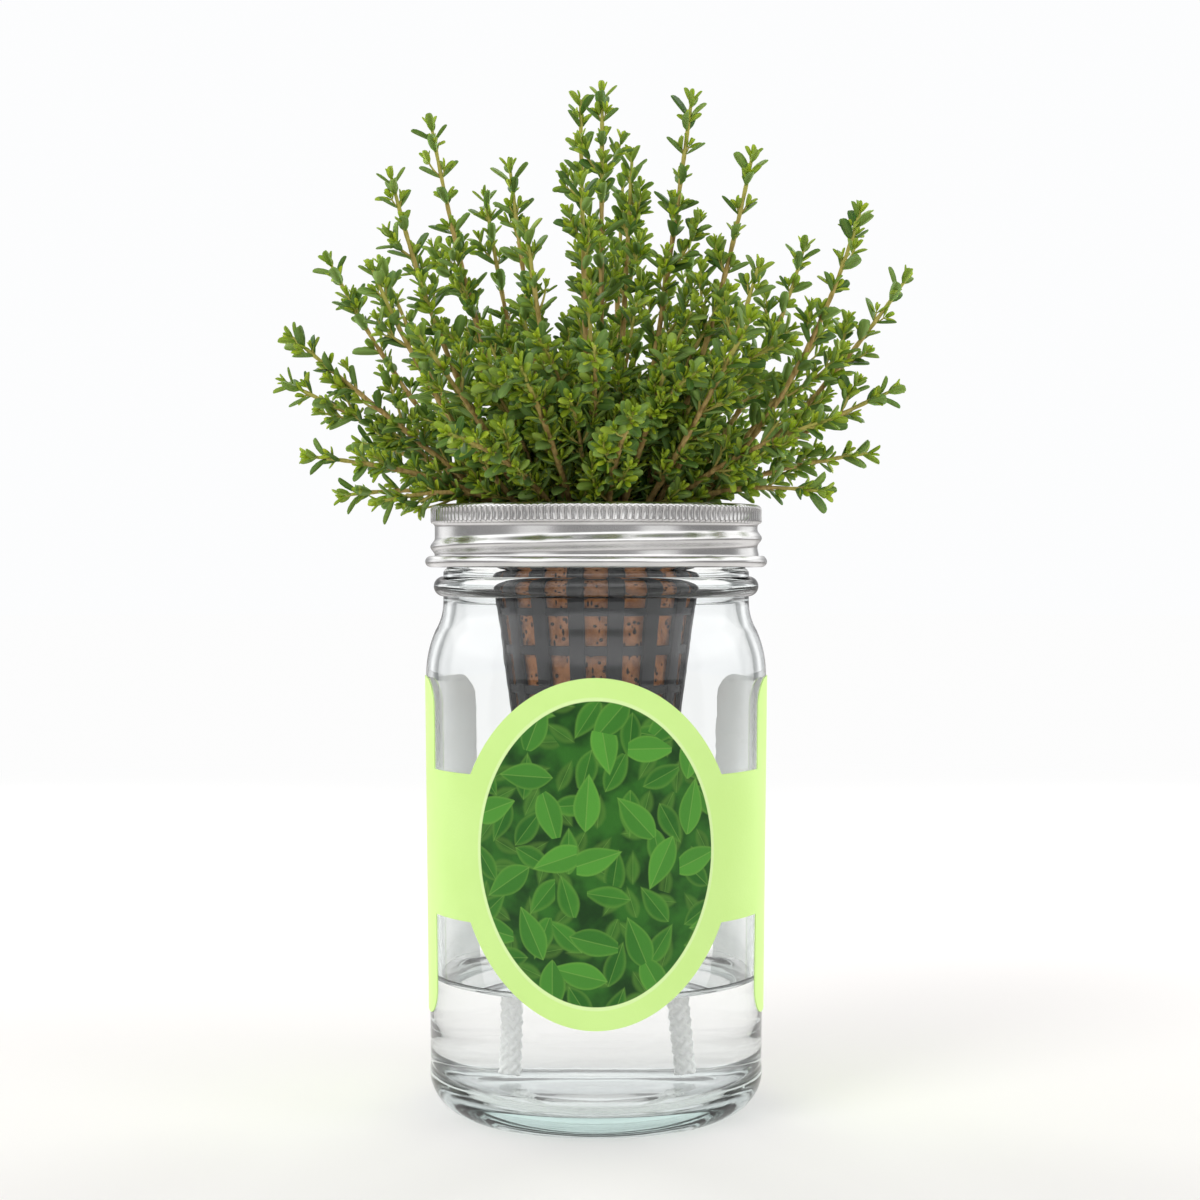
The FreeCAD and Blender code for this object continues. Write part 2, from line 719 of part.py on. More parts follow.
def make_label():
    """One thin shell round the glass, kept where the front oval, the strap and the side panels are."""
    low = "panel_foot_height - overrun"
    high = "panel_top_height + overrun"
    rows = [
        (label_radius(low), low),
        (f"{label_radius(low)} + label_thickness", low),
        (f"{label_radius(high)} + label_thickness", high),
        (label_radius(high), high),
    ]
    ring = turned("label_ring", rows)
    reach = "( shoulder_radius + overrun )"

    oval_line = doc.addObject("Part::Ellipse", "label_oval_line")
    oval_line.setExpression("MajorRadius", named("oval_half_height"))
    oval_line.setExpression("MinorRadius", named("oval_half_width"))
    upright = FreeCAD.Rotation(Vector(0, 0, 1), Vector(1, 0, 0), Vector(0, -1, 0))
    oval_line.Placement = FreeCAD.Placement(Vector(0, 0, size("Sizes.label_middle_height")), upright)
    oval_line.setExpression("Placement.Base.z", named("label_middle_height"))
    oval = doc.addObject("Part::Extrusion", "label_oval")
    oval.Base = oval_line
    oval.DirMode = "Custom"
    oval.Dir = Vector(0, -1, 0)
    oval.setExpression("LengthFwd", named(reach))
    oval.Solid = True

    strap = doc.addObject("Part::Box", "label_strap")
    strap.setExpression("Length", named(f"2 * {reach}"))
    strap.setExpression("Width", named(reach))
    strap.setExpression("Height", named("strap_height"))
    strap.setExpression("Placement.Base.x", named(f"0 - {reach}"))
    strap.setExpression("Placement.Base.y", named(f"0 - panel_front_reach - {reach}"))
    strap.setExpression("Placement.Base.z", named("label_middle_height - strap_height / 2"))

    block = doc.addObject("Part::Box", "label_panel_block")
    block.setExpression("Length", named(f"2 * {reach}"))
    block.setExpression("Width", named("panel_front_reach + panel_back_reach"))
    block.setExpression("Height", named("panel_top_height - panel_foot_height"))
    block.setExpression("Placement.Base.x", named(f"0 - {reach}"))
    block.setExpression("Placement.Base.y", named("0 - panel_front_reach"))
    block.setExpression("Placement.Base.z", named("panel_foot_height"))
    doc.recompute()
    panels = doc.addObject("Part::Fillet", "label_panels")
    panels.Base = block
    lengthwise = []
    for number, edge in enumerate(block.Shape.Edges, 1):
        if abs(edge.tangentAt(edge.FirstParameter).x) > abs(edge.tangentAt(edge.FirstParameter).y):
            if edge.BoundBox.XLength > edge.BoundBox.ZLength:
                lengthwise.append((number, size("Sizes.panel_corner"), size("Sizes.panel_corner")))
    panels.Edges = lengthwise

    pattern = doc.addObject("Part::MultiFuse", "label_outline")
    pattern.Shapes = [oval, strap, panels]
    label = doc.addObject("Part::MultiCommon", "label")
    label.Shapes = [ring, pattern]
    label.Label = "label"
    doc.recompute()
    return label


# Growing plug and wicks


def make_grow_plug():
    """The plug that fills the basket, standing on its floor."""
    plug = doc.addObject("Part::Cone", "grow_plug")
    plug.Label = "grow_plug"
    foot = "plug_foot_height"
    inset = "cup_wall - plug_clearance"
    plug.setExpression("Radius1", named(f"{cup_radius(foot)} - {inset}"))
    plug.setExpression("Radius2", named(f"{cup_radius(foot + ' + plug_height')} - {inset}"))
    plug.setExpression("Height", named("plug_height"))
    plug.setExpression("Placement.Base.z", named(foot))
    return plug


def rounded_path(points):
    """Straight runs joined by tangent arcs, as large as their two runs allow."""
    edges = []
    at = points[0]
    for before, corner, after in zip(points, points[1:], points[2:]):
        run_in, run_out = corner - before, after - corner
        turn = run_in.getAngle(run_out)
        reach = CORD_RUN_SHARE * min(run_in.Length, run_out.Length)
        start = corner - run_in.normalize() * reach
        end = corner + run_out.normalize() * reach
        radius = reach / math.tan(turn / 2)
        outwards = (start + end) / 2 - corner
        middle = corner + outwards.normalize() * (radius / math.cos(turn / 2) - radius)
        print(f"  bend radius {radius:.0f} mm, turn {math.degrees(turn):.1f} degrees")
        edges.append(Part.makeLine(at, start))
        edges.append(Part.Arc(start, middle, end).toShape())
        at = end
    edges.append(Part.makeLine(at, points[-1]))
    return Part.Wire(edges)


def make_wick(name):
    """A plain round cord down its route."""
    print(name)
    side = -1 if name == "wick_left" else 1
    hole, head = size("Sizes.wick_hole_offset"), size("Sizes.plug_foot_height")
    foot = size(named("floor_height + wick_foot_lift"))
    points = [
        Vector(side * (hole + outwards), backwards, foot + share * (head - foot))
        for outwards, backwards, share in WICK_ROUTES[name]
    ]
    path = rounded_path(points)
    ring = Part.Wire([Part.makeCircle(size("Sizes.wick_radius"), points[0], points[1] - points[0])])
    shell = path.makePipeShell([ring], True, False)
    section = math.pi * size("Sizes.wick_radius") ** 2
    filled = shell.Volume / (section * path.Length)
    print(f"  length {path.Length:.1f} mm, volume is {filled:.4f} of section by length")
    wick = doc.addObject("Part::Feature", name)
    wick.Label = name
    wick.Shape = shell
    return wick


# Plant


def stem_points(shares):
    """The three points that bend one stem: its foot on the plug, the bend and the tip."""
    azimuth, reach_share, height_share, bend_out_share, bend_up_share = shares
    outwards = Vector(math.cos(math.radians(azimuth)), math.sin(math.radians(azimuth)), 0)
    upwards = Vector(0, 0, 1)
    foot_height = size("Sizes.plug_top_height")
    spread, height = size("Sizes.plant_spread"), size("Sizes.plant_height")
    root_reach = size("Sizes.crown_radius") * math.sqrt(reach_share)
    tip_reach = spread * reach_share
    bend_reach = root_reach + (tip_reach - root_reach) * bend_out_share
    foot = outwards * root_reach + upwards * foot_height
    bend = outwards * bend_reach + upwards * (foot_height + height * bend_up_share)
    lean = (bend - foot).getAngle(upwards)
    foot += upwards * (size("Sizes.leaf_gap") + size("Sizes.stem_radius") * math.sin(lean))
    tip = outwards * tip_reach + upwards * (foot_height + height * height_share)
    return foot, bend, tip


def along(points, share):
    """A stem's place and direction at a share of its way."""
    foot, bend, tip = points
    back = 1 - share
    place = foot * back * back + bend * 2 * share * back + tip * share * share
    direction = (bend - foot) * back + (tip - bend) * share
    return place, direction.normalize()


def stem_width(share):
    """A stem's radius at a share of its way."""
    thick, thin = size("Sizes.stem_radius"), size("Sizes.stem_tip_radius")
    return thick + (thin - thick) * share


def make_stem(number, points):
    """A tapered, bent round rod."""
    rings = []
    sideways = (points[1] - points[0]).cross(Vector(0, 0, 1))
    for step in range(STEM_SECTION_COUNT):
        share = step / (STEM_SECTION_COUNT - 1)
        place, direction = along(points, share)
        ring = Part.makeCircle(stem_width(share))
        ring.Placement = FreeCAD.Placement(place, FreeCAD.Rotation(sideways, Vector(), direction, "ZXY"))
        rings.append(Part.Wire([ring]))
    stem = doc.addObject("Part::Feature", f"stem_{number:02d}")
    stem.Label = f"stem_{number:02d}"
    stem.Shape = Part.makeLoft(rings, True, True)
    return stem


def gap_between(first, second):
    """The least distance between two straight pieces, each given by its two ends."""
    start_a, end_a = first
    start_b, end_b = second
    run_a, run_b, between = end_a - start_a, end_b - start_b, start_a - start_b
    aa, ab, bb = run_a.dot(run_a), run_a.dot(run_b), run_b.dot(run_b)
    ac, bc = run_a.dot(between), run_b.dot(between)
    spread = aa * bb - ab * ab
    share_a = min(max((ab * bc - bb * ac) / spread, 0), 1) if spread > TINY else 0
    share_b = min(max((ab * share_a + bc) / bb, 0), 1)
    share_a = min(max((ab * share_b - ac) / aa, 0), 1)
    return (between + run_a * share_a - run_b * share_b).Length


class Neighbours:
    """Straight pieces with a thickness, found by the box of space that they lie in."""

    def __init__(self, cell):
        self.cell = cell
        self.boxes = {}

    def keys(self, ends):
        low = [math.floor((min(a, b)) / self.cell) for a, b in zip(ends[0], ends[1])]
        high = [math.floor((max(a, b)) / self.cell) for a, b in zip(ends[0], ends[1])]
        spans = [range(low[axis] - 1, high[axis] + 2) for axis in range(3)]
        return [(x, y, z) for x in spans[0] for y in spans[1] for z in spans[2]]

    def add(self, ends, radius, owner):
        for key in self.keys(ends):
            self.boxes.setdefault(key, []).append((ends, radius, owner))

    def clear(self, ends, radius, owner):
        key = tuple(math.floor(value / self.cell) for value in (ends[0] + ends[1]) / 2)
        for other, other_radius, other_owner in self.boxes.get(key, []):
            if other_owner != owner and gap_between(ends, other) < radius + other_radius:
                return False
        return True


def make_leaf(root, direction, across, length):
    """A leaf: a thin plate between two arcs, pointed at both ends."""
    half = size("Sizes.leaf_width") * length / size("Sizes.leaf_length") / 2
    tip = Vector(length, 0, 0)
    sides = [
        Part.Arc(Vector(0, 0, 0), Vector(length / 2, half, 0), tip).toShape(),
        Part.Arc(tip, Vector(length / 2, -half, 0), Vector(0, 0, 0)).toShape(),
    ]
    thickness = size("Sizes.leaf_thickness")
    plate = Part.Face(Part.Wire(sides)).extrude(Vector(0, 0, thickness))
    plate.translate(Vector(0, 0, -thickness / 2))
    turn = FreeCAD.Rotation(direction, across, Vector())
    plate.Placement = FreeCAD.Placement(root, turn).multiply(plate.Placement)
    return plate


def leaf_is_free(root, tip):
    """Whether a leaf keeps clear of the band, the flange and the plug."""
    rim = size(named("jar_height + flange_thickness + lip_clearance + sheet"))
    plug_top = size("Sizes.plug_top_height")
    room = size("Sizes.leaf_width") / 2
    outside = size(named("roll_circle_radius + roll_radius"))
    for place in (root, (root + tip) / 2, tip):
        reach = math.hypot(place.x, place.y)
        lowest = rim + room if reach < outside + room else plug_top
        if reach < size(named("cup_top_radius - cup_wall")) - room:
            lowest = plug_top + room
        if place.z < lowest:
            return False
    return True


def leaf_places(points):
    """Opposite pairs of leaves up one stem, each pair turned a quarter from the last, and a tip pair."""
    steps = LEAF_STEP_COUNT
    places = [along(points, step / steps)[0] for step in range(steps + 1)]
    lengths = [0.0]
    for first, second in zip(places, places[1:]):
        lengths.append(lengths[-1] + (second - first).Length)
    spacing = size("Sizes.leaf_spacing")
    bare = size("Sizes.leaf_free_height")
    pair_count = max(1, round((lengths[-1] - bare) / spacing))
    rows = []
    for pair in range(pair_count + 1):
        target = lengths[-1] - pair * (lengths[-1] - bare) / pair_count
        step = min(range(steps + 1), key=lambda index: abs(lengths[index] - target))
        share = step / steps
        place, direction = along(points, share)
        sideways = direction.cross(Vector(0, 0, 1)).normalize()
        upwards = sideways.cross(direction).normalize()
        turn = math.radians(QUARTER_TURN * (pair % 2) + LEAF_TWIST_DEGREES)
        rise = TIP_LEAF_RISE_DEGREES if pair == 0 else LEAF_RISE_DEGREES
        scale = LEAF_SHARES[min(pair, len(LEAF_SHARES) - 1)]
        for half_turn in (0, math.pi):
            out = sideways * math.cos(turn + half_turn) + upwards * math.sin(turn + half_turn)
            rows.append((place, direction, out, share, rise, scale))
    return rows


def make_plant():
    """Stems first, then as many leaves as keep clear of each other and of the stems."""
    curves = [stem_points(shares) for shares in STEM_SHARES]
    stems = [make_stem(number, points) for number, points in enumerate(curves, 1)]
    room = Neighbours(size("Sizes.leaf_length") * 2)
    for number, points in enumerate(curves):
        steps = STEM_SECTION_COUNT * 2
        for step in range(steps):
            ends = (along(points, step / steps)[0], along(points, (step + 1) / steps)[0])
            room.add(ends, stem_width(step / steps) + size("Sizes.leaf_gap"), number)
    groups = {name: [] for name in LEAF_GROUP_NAMES}
    for number, points in enumerate(curves):
        sector = round(STEM_SHARES[number][0] * len(LEAF_GROUP_NAMES) / FULL_TURN) % len(LEAF_GROUP_NAMES)
        for place, direction, out, share, rise, scale in leaf_places(points):
            lean = math.radians(rise)
            pointing = (direction * math.cos(lean) + out * math.sin(lean)).normalize()
            length = size("Sizes.leaf_length") * scale
            root = place + out * (stem_width(share) + size("Sizes.leaf_gap"))
            if share == 1:
                root = root + direction * size("Sizes.leaf_gap")
            ends = (root, root + pointing * length)
            half = size("Sizes.leaf_width") * scale / 2
            if not leaf_is_free(*ends) or not room.clear(ends, half, number):
                continue
            room.add(ends, half, number)
            across = direction.cross(out)
            groups[LEAF_GROUP_NAMES[sector]].append(make_leaf(root, pointing, across, length))
    leaves = []
    for name, plates in groups.items():
        group = doc.addObject("Part::Feature", name)
        group.Label = name
        group.Shape = Part.makeCompound(plates)
        leaves.append(group)
        print(name, len(plates), "leaves")
    return stems + leaves


def main():
    """Build every piece, look for failures, and only then write the files."""
    nodes = [
        make_glass_jar(),
        make_net_cup(),
        make_screw_band(),
        make_water(),
        make_label(),
        make_grow_plug(),
        make_wick("wick_left"),
        make_wick("wick_right"),
    ]
    nodes += make_plant()
    doc.recompute()
    for item in doc.Objects:
        if "Invalid" in item.State or "Error" in item.State:
            raise ValueError(f"{item.Name} failed: {item.State}")
    for node in nodes:
        if node.Shape.isNull() or not node.Shape.isValid():
            raise ValueError(f"{node.Label} has no valid shape")
    os.makedirs("parts", exist_ok=True)
    for node in nodes:
        node.Shape.exportStep(f"parts/{node.Label}.step")
        box = node.Shape.BoundBox
        solids = len(node.Shape.Solids)
        volume = node.Shape.Volume
        print(f"{node.Label}: {solids} solids, {volume:.0f} mm3, z {box.ZMin:.1f} to {box.ZMax:.1f}")


main()
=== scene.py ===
# %% [markdown]
# # A glass jar that waters its own herb
#
# The object is a wide glass jar with a metal screw band. The band holds a dark net cup, the cup holds a
# brown growing plug, two cotton wicks hang from the plug into water, and a woody herb fans out above.
# The measured parts come first, as a fixed frame in metres. Each visible piece is then modelled round
# them at its real size, so nothing has to be fitted or scaled afterwards.

import bpy
import math
import random
import numpy as np
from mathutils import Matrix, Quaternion, Vector


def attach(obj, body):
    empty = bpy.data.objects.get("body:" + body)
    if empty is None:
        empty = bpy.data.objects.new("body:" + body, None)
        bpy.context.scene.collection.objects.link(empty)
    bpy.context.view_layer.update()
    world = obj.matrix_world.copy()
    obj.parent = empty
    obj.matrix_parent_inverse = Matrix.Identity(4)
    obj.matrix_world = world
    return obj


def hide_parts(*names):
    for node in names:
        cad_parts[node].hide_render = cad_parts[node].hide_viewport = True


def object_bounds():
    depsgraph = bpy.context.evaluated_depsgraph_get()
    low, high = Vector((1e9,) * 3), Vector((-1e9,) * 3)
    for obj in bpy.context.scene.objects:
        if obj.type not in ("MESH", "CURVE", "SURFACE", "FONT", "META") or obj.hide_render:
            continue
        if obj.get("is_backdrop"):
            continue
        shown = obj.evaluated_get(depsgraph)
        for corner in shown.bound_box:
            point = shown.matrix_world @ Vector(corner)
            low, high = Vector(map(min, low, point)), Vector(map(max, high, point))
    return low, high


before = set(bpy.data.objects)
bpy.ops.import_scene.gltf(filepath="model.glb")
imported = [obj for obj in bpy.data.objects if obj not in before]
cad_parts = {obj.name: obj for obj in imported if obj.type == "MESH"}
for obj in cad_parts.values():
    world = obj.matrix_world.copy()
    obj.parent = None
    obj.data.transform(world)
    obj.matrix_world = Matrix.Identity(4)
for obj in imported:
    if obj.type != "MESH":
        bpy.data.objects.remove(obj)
bpy.ops.object.select_all(action="DESELECT")
cad_low, cad_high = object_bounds()
MM = 0.001
FULL_TURN = 2 * math.pi
UP = Vector((0, 0, 1))
print("measured box", [round(v / MM, 1) for v in (*cad_low, *cad_high)])

# %% [markdown]
# ## The camera
#
#
# The camera stands about 65 cm in front of the jar, near the height of its neck, and looks almost
# level. A longer lens from that distance keeps the jar's sides straight. The camera is made first.

# %% A new object, and the camera
def link(name, data):
    """A new object in the scene that shows the data."""
    made = bpy.data.objects.new(name, data)
    bpy.context.scene.collection.objects.link(made)
    return made


camera_data = bpy.data.cameras.new("camera")
camera_data.sensor_width = 36.0
camera_data.lens = 68.7
camera_data.clip_start = 0.01
camera_data.clip_end = 20.0
camera = link("camera", camera_data)
camera.location = (0.0011, -0.649, 0.155)
LOOK_DOWN = math.radians(1.0)
camera.rotation_euler = (math.pi / 2 - LOOK_DOWN, 0, 0)
bpy.context.scene.camera = camera
bpy.context.scene.view_settings.view_transform = "Standard"
print("camera at", tuple(camera.location))

# %% [markdown]
# ## Small helpers for building
#
# Operators act on everything that is selected, so each step first selects just its own pieces. Most
# of this object is turned on an axis. Its pieces start as one vertex that is pulled along half of the
# piece's section and then spun round the axis, as a potter would throw it. The alternative, a stack of
# scaled cylinders, would need every fillet to be cut in later.

# %% Select, name and place
TINY = 2e-6
SOFT_ANGLE = math.radians(38)


def mm(*sizes):
    """Millimetres as metres."""
    return tuple(size * MM for size in sizes)


def select_only(*pieces):
    bpy.ops.object.select_all(action="DESELECT")
    for piece in pieces:
        piece.select_set(True)
    bpy.context.view_layer.objects.active = pieces[0]


def apply_place(piece):
    """Move an object's place, turn and size into its mesh."""
    select_only(piece)
    bpy.ops.object.transform_apply(location=True, rotation=True, scale=True)


def new_piece(operator, **settings):
    """One of Blender's ready shapes, with its place, turn and size moved into its mesh."""
    bpy.ops.object.select_all(action="DESELECT")
    operator(**settings)
    piece = bpy.context.object
    apply_place(piece)
    return piece


def edit_whole(operator, **settings):
    """Run one edit mode operator on the whole of the active piece."""
    bpy.ops.object.mode_set(mode="EDIT")
    bpy.ops.mesh.select_all(action="SELECT")
    operator(**settings)
    bpy.ops.object.mode_set(mode="OBJECT")


def apply_modifier(piece, kind, **settings):
    select_only(piece)
    modifier = piece.modifiers.new(kind.lower(), kind)
    for name, value in settings.items():
        setattr(modifier, name, value)
    bpy.ops.object.modifier_apply(modifier=modifier.name)


def cut(piece, tool, operation="DIFFERENCE"):
    """Cut, join or cross a piece with a tool, which is then thrown away."""
    apply_modifier(piece, "BOOLEAN", operation=operation, object=tool, solver="EXACT")
    bpy.data.objects.remove(tool)


def join(name, pieces):
    select_only(*pieces)
    bpy.ops.object.join()
    joined = bpy.context.object
    joined.name = joined.data.name = name
    return joined


def smooth(piece, angle=SOFT_ANGLE):
    select_only(piece)
    bpy.ops.object.shade_smooth_by_angle(angle=angle)


# %% Draw a section and spin it
def arc(start, middle, end, count):
    """Points of the circle through three points, after the first."""
    (ax, ay), (bx, by), (cx, cy) = start, middle, end
    area = 2 * (ax * (by - cy) + bx * (cy - ay) + cx * (ay - by))
    aa, bb, cc = ax * ax + ay * ay, bx * bx + by * by, cx * cx + cy * cy
    ux = (aa * (by - cy) + bb * (cy - ay) + cc * (ay - by)) / area
    uy = (aa * (cx - bx) + bb * (ax - cx) + cc * (bx - ax)) / area
    radius = math.hypot(ax - ux, ay - uy)
    first = math.atan2(ay - uy, ax - ux)
    last = math.atan2(cy - uy, cx - ux)
    sweep = (last - first) % FULL_TURN if area > 0 else -((first - last) % FULL_TURN)
    turns = [first + sweep * step / count for step in range(1, count + 1)]
    return [(ux + radius * math.cos(turn), uy + radius * math.sin(turn)) for turn in turns]


def outline(*rows):
    """A list of points from rows that are a point, or the middle, end and count of an arc."""
    points = []
    for row in rows:
        if len(row) == 2:
            points.append(row)
        else:
            points += arc(points[-1], row[0:2], row[2:4], row[4])
    return points


def turned(name, points, steps, angle=SOFT_ANGLE):
    """Pull a vertex along a closed section in millimetres, and spin it round the upright axis."""
    bpy.ops.object.select_all(action="DESELECT")
    bpy.ops.mesh.primitive_plane_add(size=MM, location=(0, 0, 0))
    piece = bpy.context.object
    piece.name = piece.data.name = name
    bpy.ops.object.mode_set(mode="EDIT")
    bpy.ops.mesh.merge(type="CENTER")
    bpy.ops.transform.translate(value=(points[0][0] * MM, 0, points[0][1] * MM))
    for here, there in zip(points, points[1:] + points[:1]):
        step = ((there[0] - here[0]) * MM, 0, (there[1] - here[1]) * MM)
        bpy.ops.mesh.extrude_region_move(TRANSFORM_OT_translate={"value": step})
    bpy.ops.mesh.select_all(action="SELECT")
    bpy.ops.mesh.remove_doubles(threshold=TINY)
    bpy.ops.mesh.spin(steps=steps, angle=FULL_TURN, center=(0, 0, 0), axis=(0, 0, 1))
    bpy.ops.mesh.select_all(action="SELECT")
    bpy.ops.mesh.remove_doubles(threshold=TINY)
    bpy.ops.mesh.normals_make_consistent(inside=False)
    bpy.ops.object.mode_set(mode="OBJECT")
    smooth(piece, angle)
    return piece


def finish(piece, body, slot, *nodes):
    """Let a finished piece ride on its body and stand for its measured nodes."""
    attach(piece, body)
    if nodes:
        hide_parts(*nodes)
    triangles = sum(len(face.vertices) - 2 for face in piece.data.polygons)
    print(f"{piece.name}: {triangles} triangles")


# %% [markdown]
# ## Small helpers for materials
#
# A material is a few texture nodes that feed one Principled surface. Two effects are needed by most
# finishes here: a fine relief, and a slow change between two tones. Each is built once as a node group
# with named inputs, and every material places it with its own values.

# %% Node helpers
def feed(tree, sockets, values):
    """Link or set sockets; a value is a number, a colour's three parts or another node's output."""
    for name, value in values.items():
        if isinstance(value, bpy.types.NodeSocket):
            tree.links.new(value, sockets[name])
        else:
            sockets[name].default_value = (*value, 1) if sockets[name].type == "RGBA" else value


def add(tree, kind, inputs=None, **settings):
    made = tree.nodes.new(f"ShaderNode{kind}")
    for name, value in settings.items():
        setattr(made, name, value)
    feed(tree, made.inputs, inputs or {})
    return made


def maths(tree, operation, *values):
    return add(tree, "Math", dict(enumerate(values)), operation=operation).outputs[0]


def times(tree, first, second):
    return maths(tree, "MULTIPLY", first, second)


def mixed(tree, share, first, second):
    """A colour between two others."""
    return add(tree, "Mix", {0: share, 6: first, 7: second}, data_type="RGBA").outputs[2]


def between(tree, value, low, high):
    """Nought below low, one above high, and a soft step between them."""
    inputs = {"Value": value, "From Min": low, "From Max": high}
    return add(tree, "MapRange", inputs, interpolation_type="SMOOTHSTEP").outputs[0]


def ranged(tree, value, low, high):
    """A value from low, where the given one is nought, to high, where it is one."""
    return add(tree, "MapRange", {"Value": value, "To Min": low, "To Max": high}).outputs[0]


def new_group(name, inputs, outputs):
    """A shader node group with named sockets, and the sockets that its nodes start from and end in."""
    group = bpy.data.node_groups.new(name, "ShaderNodeTree")
    for way, sockets in (("INPUT", inputs), ("OUTPUT", outputs)):
        for socket, kind in sockets.items():
            group.interface.new_socket(name=socket, in_out=way, socket_type=f"NodeSocket{kind}")
    return group, group.nodes.new("NodeGroupInput").outputs, group.nodes.new("NodeGroupOutput").inputs


def new_material(name, sockets):
    """A material with plain values on its surface, and its tree, surface and object coordinates."""
    made = bpy.data.materials.new(name)
    made.use_nodes = True
    tree = made.node_tree
    surface = tree.nodes["Principled BSDF"]
    feed(tree, surface.inputs, sockets)
    return made, tree, surface, add(tree, "TexCoord").outputs["Object"]


# %% Two shared effects: fine relief and two slowly changing tones
relief, given, wanted = new_group(
    "fine_relief",
    {"Vector": "Vector", "Scale": "Float", "Depth": "Float"},
    {"Normal": "Vector", "Value": "Float"},
)
noise = add(relief, "TexNoise", {"Vector": given["Vector"], "Scale": given["Scale"], "Detail": 4.0})
bump = add(relief, "Bump", {"Height": noise.outputs[0], "Distance": given["Depth"]})
feed(relief, wanted, {"Normal": bump.outputs[0], "Value": noise.outputs[0]})

tones, given, wanted = new_group(
    "two_tones",
    {"Vector": "Vector", "Scale": "Float", "First": "Color", "Second": "Color"},
    {"Color": "Color", "Value": "Float"},
)
noise = add(tones, "TexNoise", {"Vector": given["Vector"], "Scale": given["Scale"], "Detail": 3.0})
share = between(tones, noise.outputs[0], 0.35, 0.65)
feed(tones, wanted, {"Color": mixed(tones, share, given["First"], given["Second"]), "Value": share})


def place_relief(tree, vector, scale, depth):
    """Fine bumps, as a normal, and the value that they come from."""
    inputs = {"Vector": vector, "Scale": scale, "Depth": depth}
    return add(tree, "Group", inputs, node_tree=relief).outputs


def place_tones(tree, vector, scale, first, second):
    """A colour that changes slowly between two, and the share of the second."""
    inputs = {"Vector": vector, "Scale": scale, "First": first, "Second": second}
    return add(tree, "Group", inputs, node_tree=tones).outputs


# %% [markdown]
# ## Two cotton wicks
#
# A wick is a limp braided cord of soft white cotton. It hangs from the plug through a hole in the net
# cup and ends cut off just above the glass floor. Its middle line is a smooth spline through a few given
# points. The braid could be a bump on a plain tube, but its lumpy outline shows through the
# water, so five strands wind each way round that line and pass over and under each other.

# %% The middle line of each wick
WICK_ROUTES = {
    "wick_left": [
        (-0.0162, 0.0003, 0.0948), (-0.0165, -0.0003, 0.0810), (-0.0171, 0.0001, 0.0665),
        (-0.0173, 0.0007, 0.0515), (-0.0179, 0.0002, 0.0370), (-0.0180, -0.0005, 0.0230),
        (-0.0184, -0.0002, 0.0102),
    ],
    "wick_right": [
        (0.0158, -0.0002, 0.0948), (0.0157, 0.0005, 0.0805), (0.0162, 0.0004, 0.0660),
        (0.0164, -0.0004, 0.0510), (0.0171, -0.0003, 0.0375), (0.0179, 0.0004, 0.0235),
        (0.0190, 0.0003, 0.0102),
    ],
}
WICK_DIAMETER = 0.0052


def spline_line(name, points):
    """The points of a smooth spline that has these as its control points."""
    data = bpy.data.curves.new(f"{name}_line", "CURVE")
    data.dimensions = "3D"
    data.resolution_u = 12
    spline = data.splines.new("NURBS")
    spline.points.add(len(points) - 1)
    for place, point in zip(spline.points, points):
        place.co = (*point, 1)
    spline.order_u = 3
    spline.use_endpoint_u = True
    carrier = link(f"{name}_line", data)
    bpy.context.view_layer.update()
    mesh = bpy.data.meshes.new_from_object(carrier)
    line = [vertex.co.copy() for vertex in mesh.vertices]
    bpy.data.objects.remove(carrier)
    bpy.data.meshes.remove(mesh)
    return line


# %% Directions and distances along a line
def swing(first, second, turn):
    """The direction at a turn from the first towards the second."""
    return first * math.cos(turn) + second * math.sin(turn)


def level(turn):
    """The level direction at a turn round the upright axis."""
    return Vector((math.cos(turn), math.sin(turn), 0))


def clamped(value):
    return min(1.0, max(0.0, value))


def lengths_along(points):
    lengths = [0.0]
    for here, there in zip(points, points[1:]):
        lengths.append(lengths[-1] + (there - here).length)
    return lengths


def frames_along(points, across):
    """Two directions across the line at each of its points, with no needless twist."""
    frames = []
    for place in range(len(points)):
        before, after = points[max(place - 1, 0)], points[min(place + 1, len(points) - 1)]
        direction = (after - before).normalized()
        across = (across - direction * across.dot(direction)).normalized()
        frames.append((across, direction.cross(across)))
    return frames


# %% Tubes along a line, for strands, fibres and shoots
def mesh_piece(name, vertices, faces, rounded=True, **columns):
    """A piece from points and faces, with named values at its points that its material can read."""
    mesh = bpy.data.meshes.new(name)
    mesh.from_pydata(vertices, [], faces)
    for column, values in columns.items():
        attribute = mesh.attributes.new(column, "FLOAT", "POINT")
        attribute.data.foreach_set("value", np.asarray(values, np.float32))
    piece = link(name, mesh)
    if rounded:
        select_only(piece)
        bpy.ops.object.shade_smooth()
    return piece


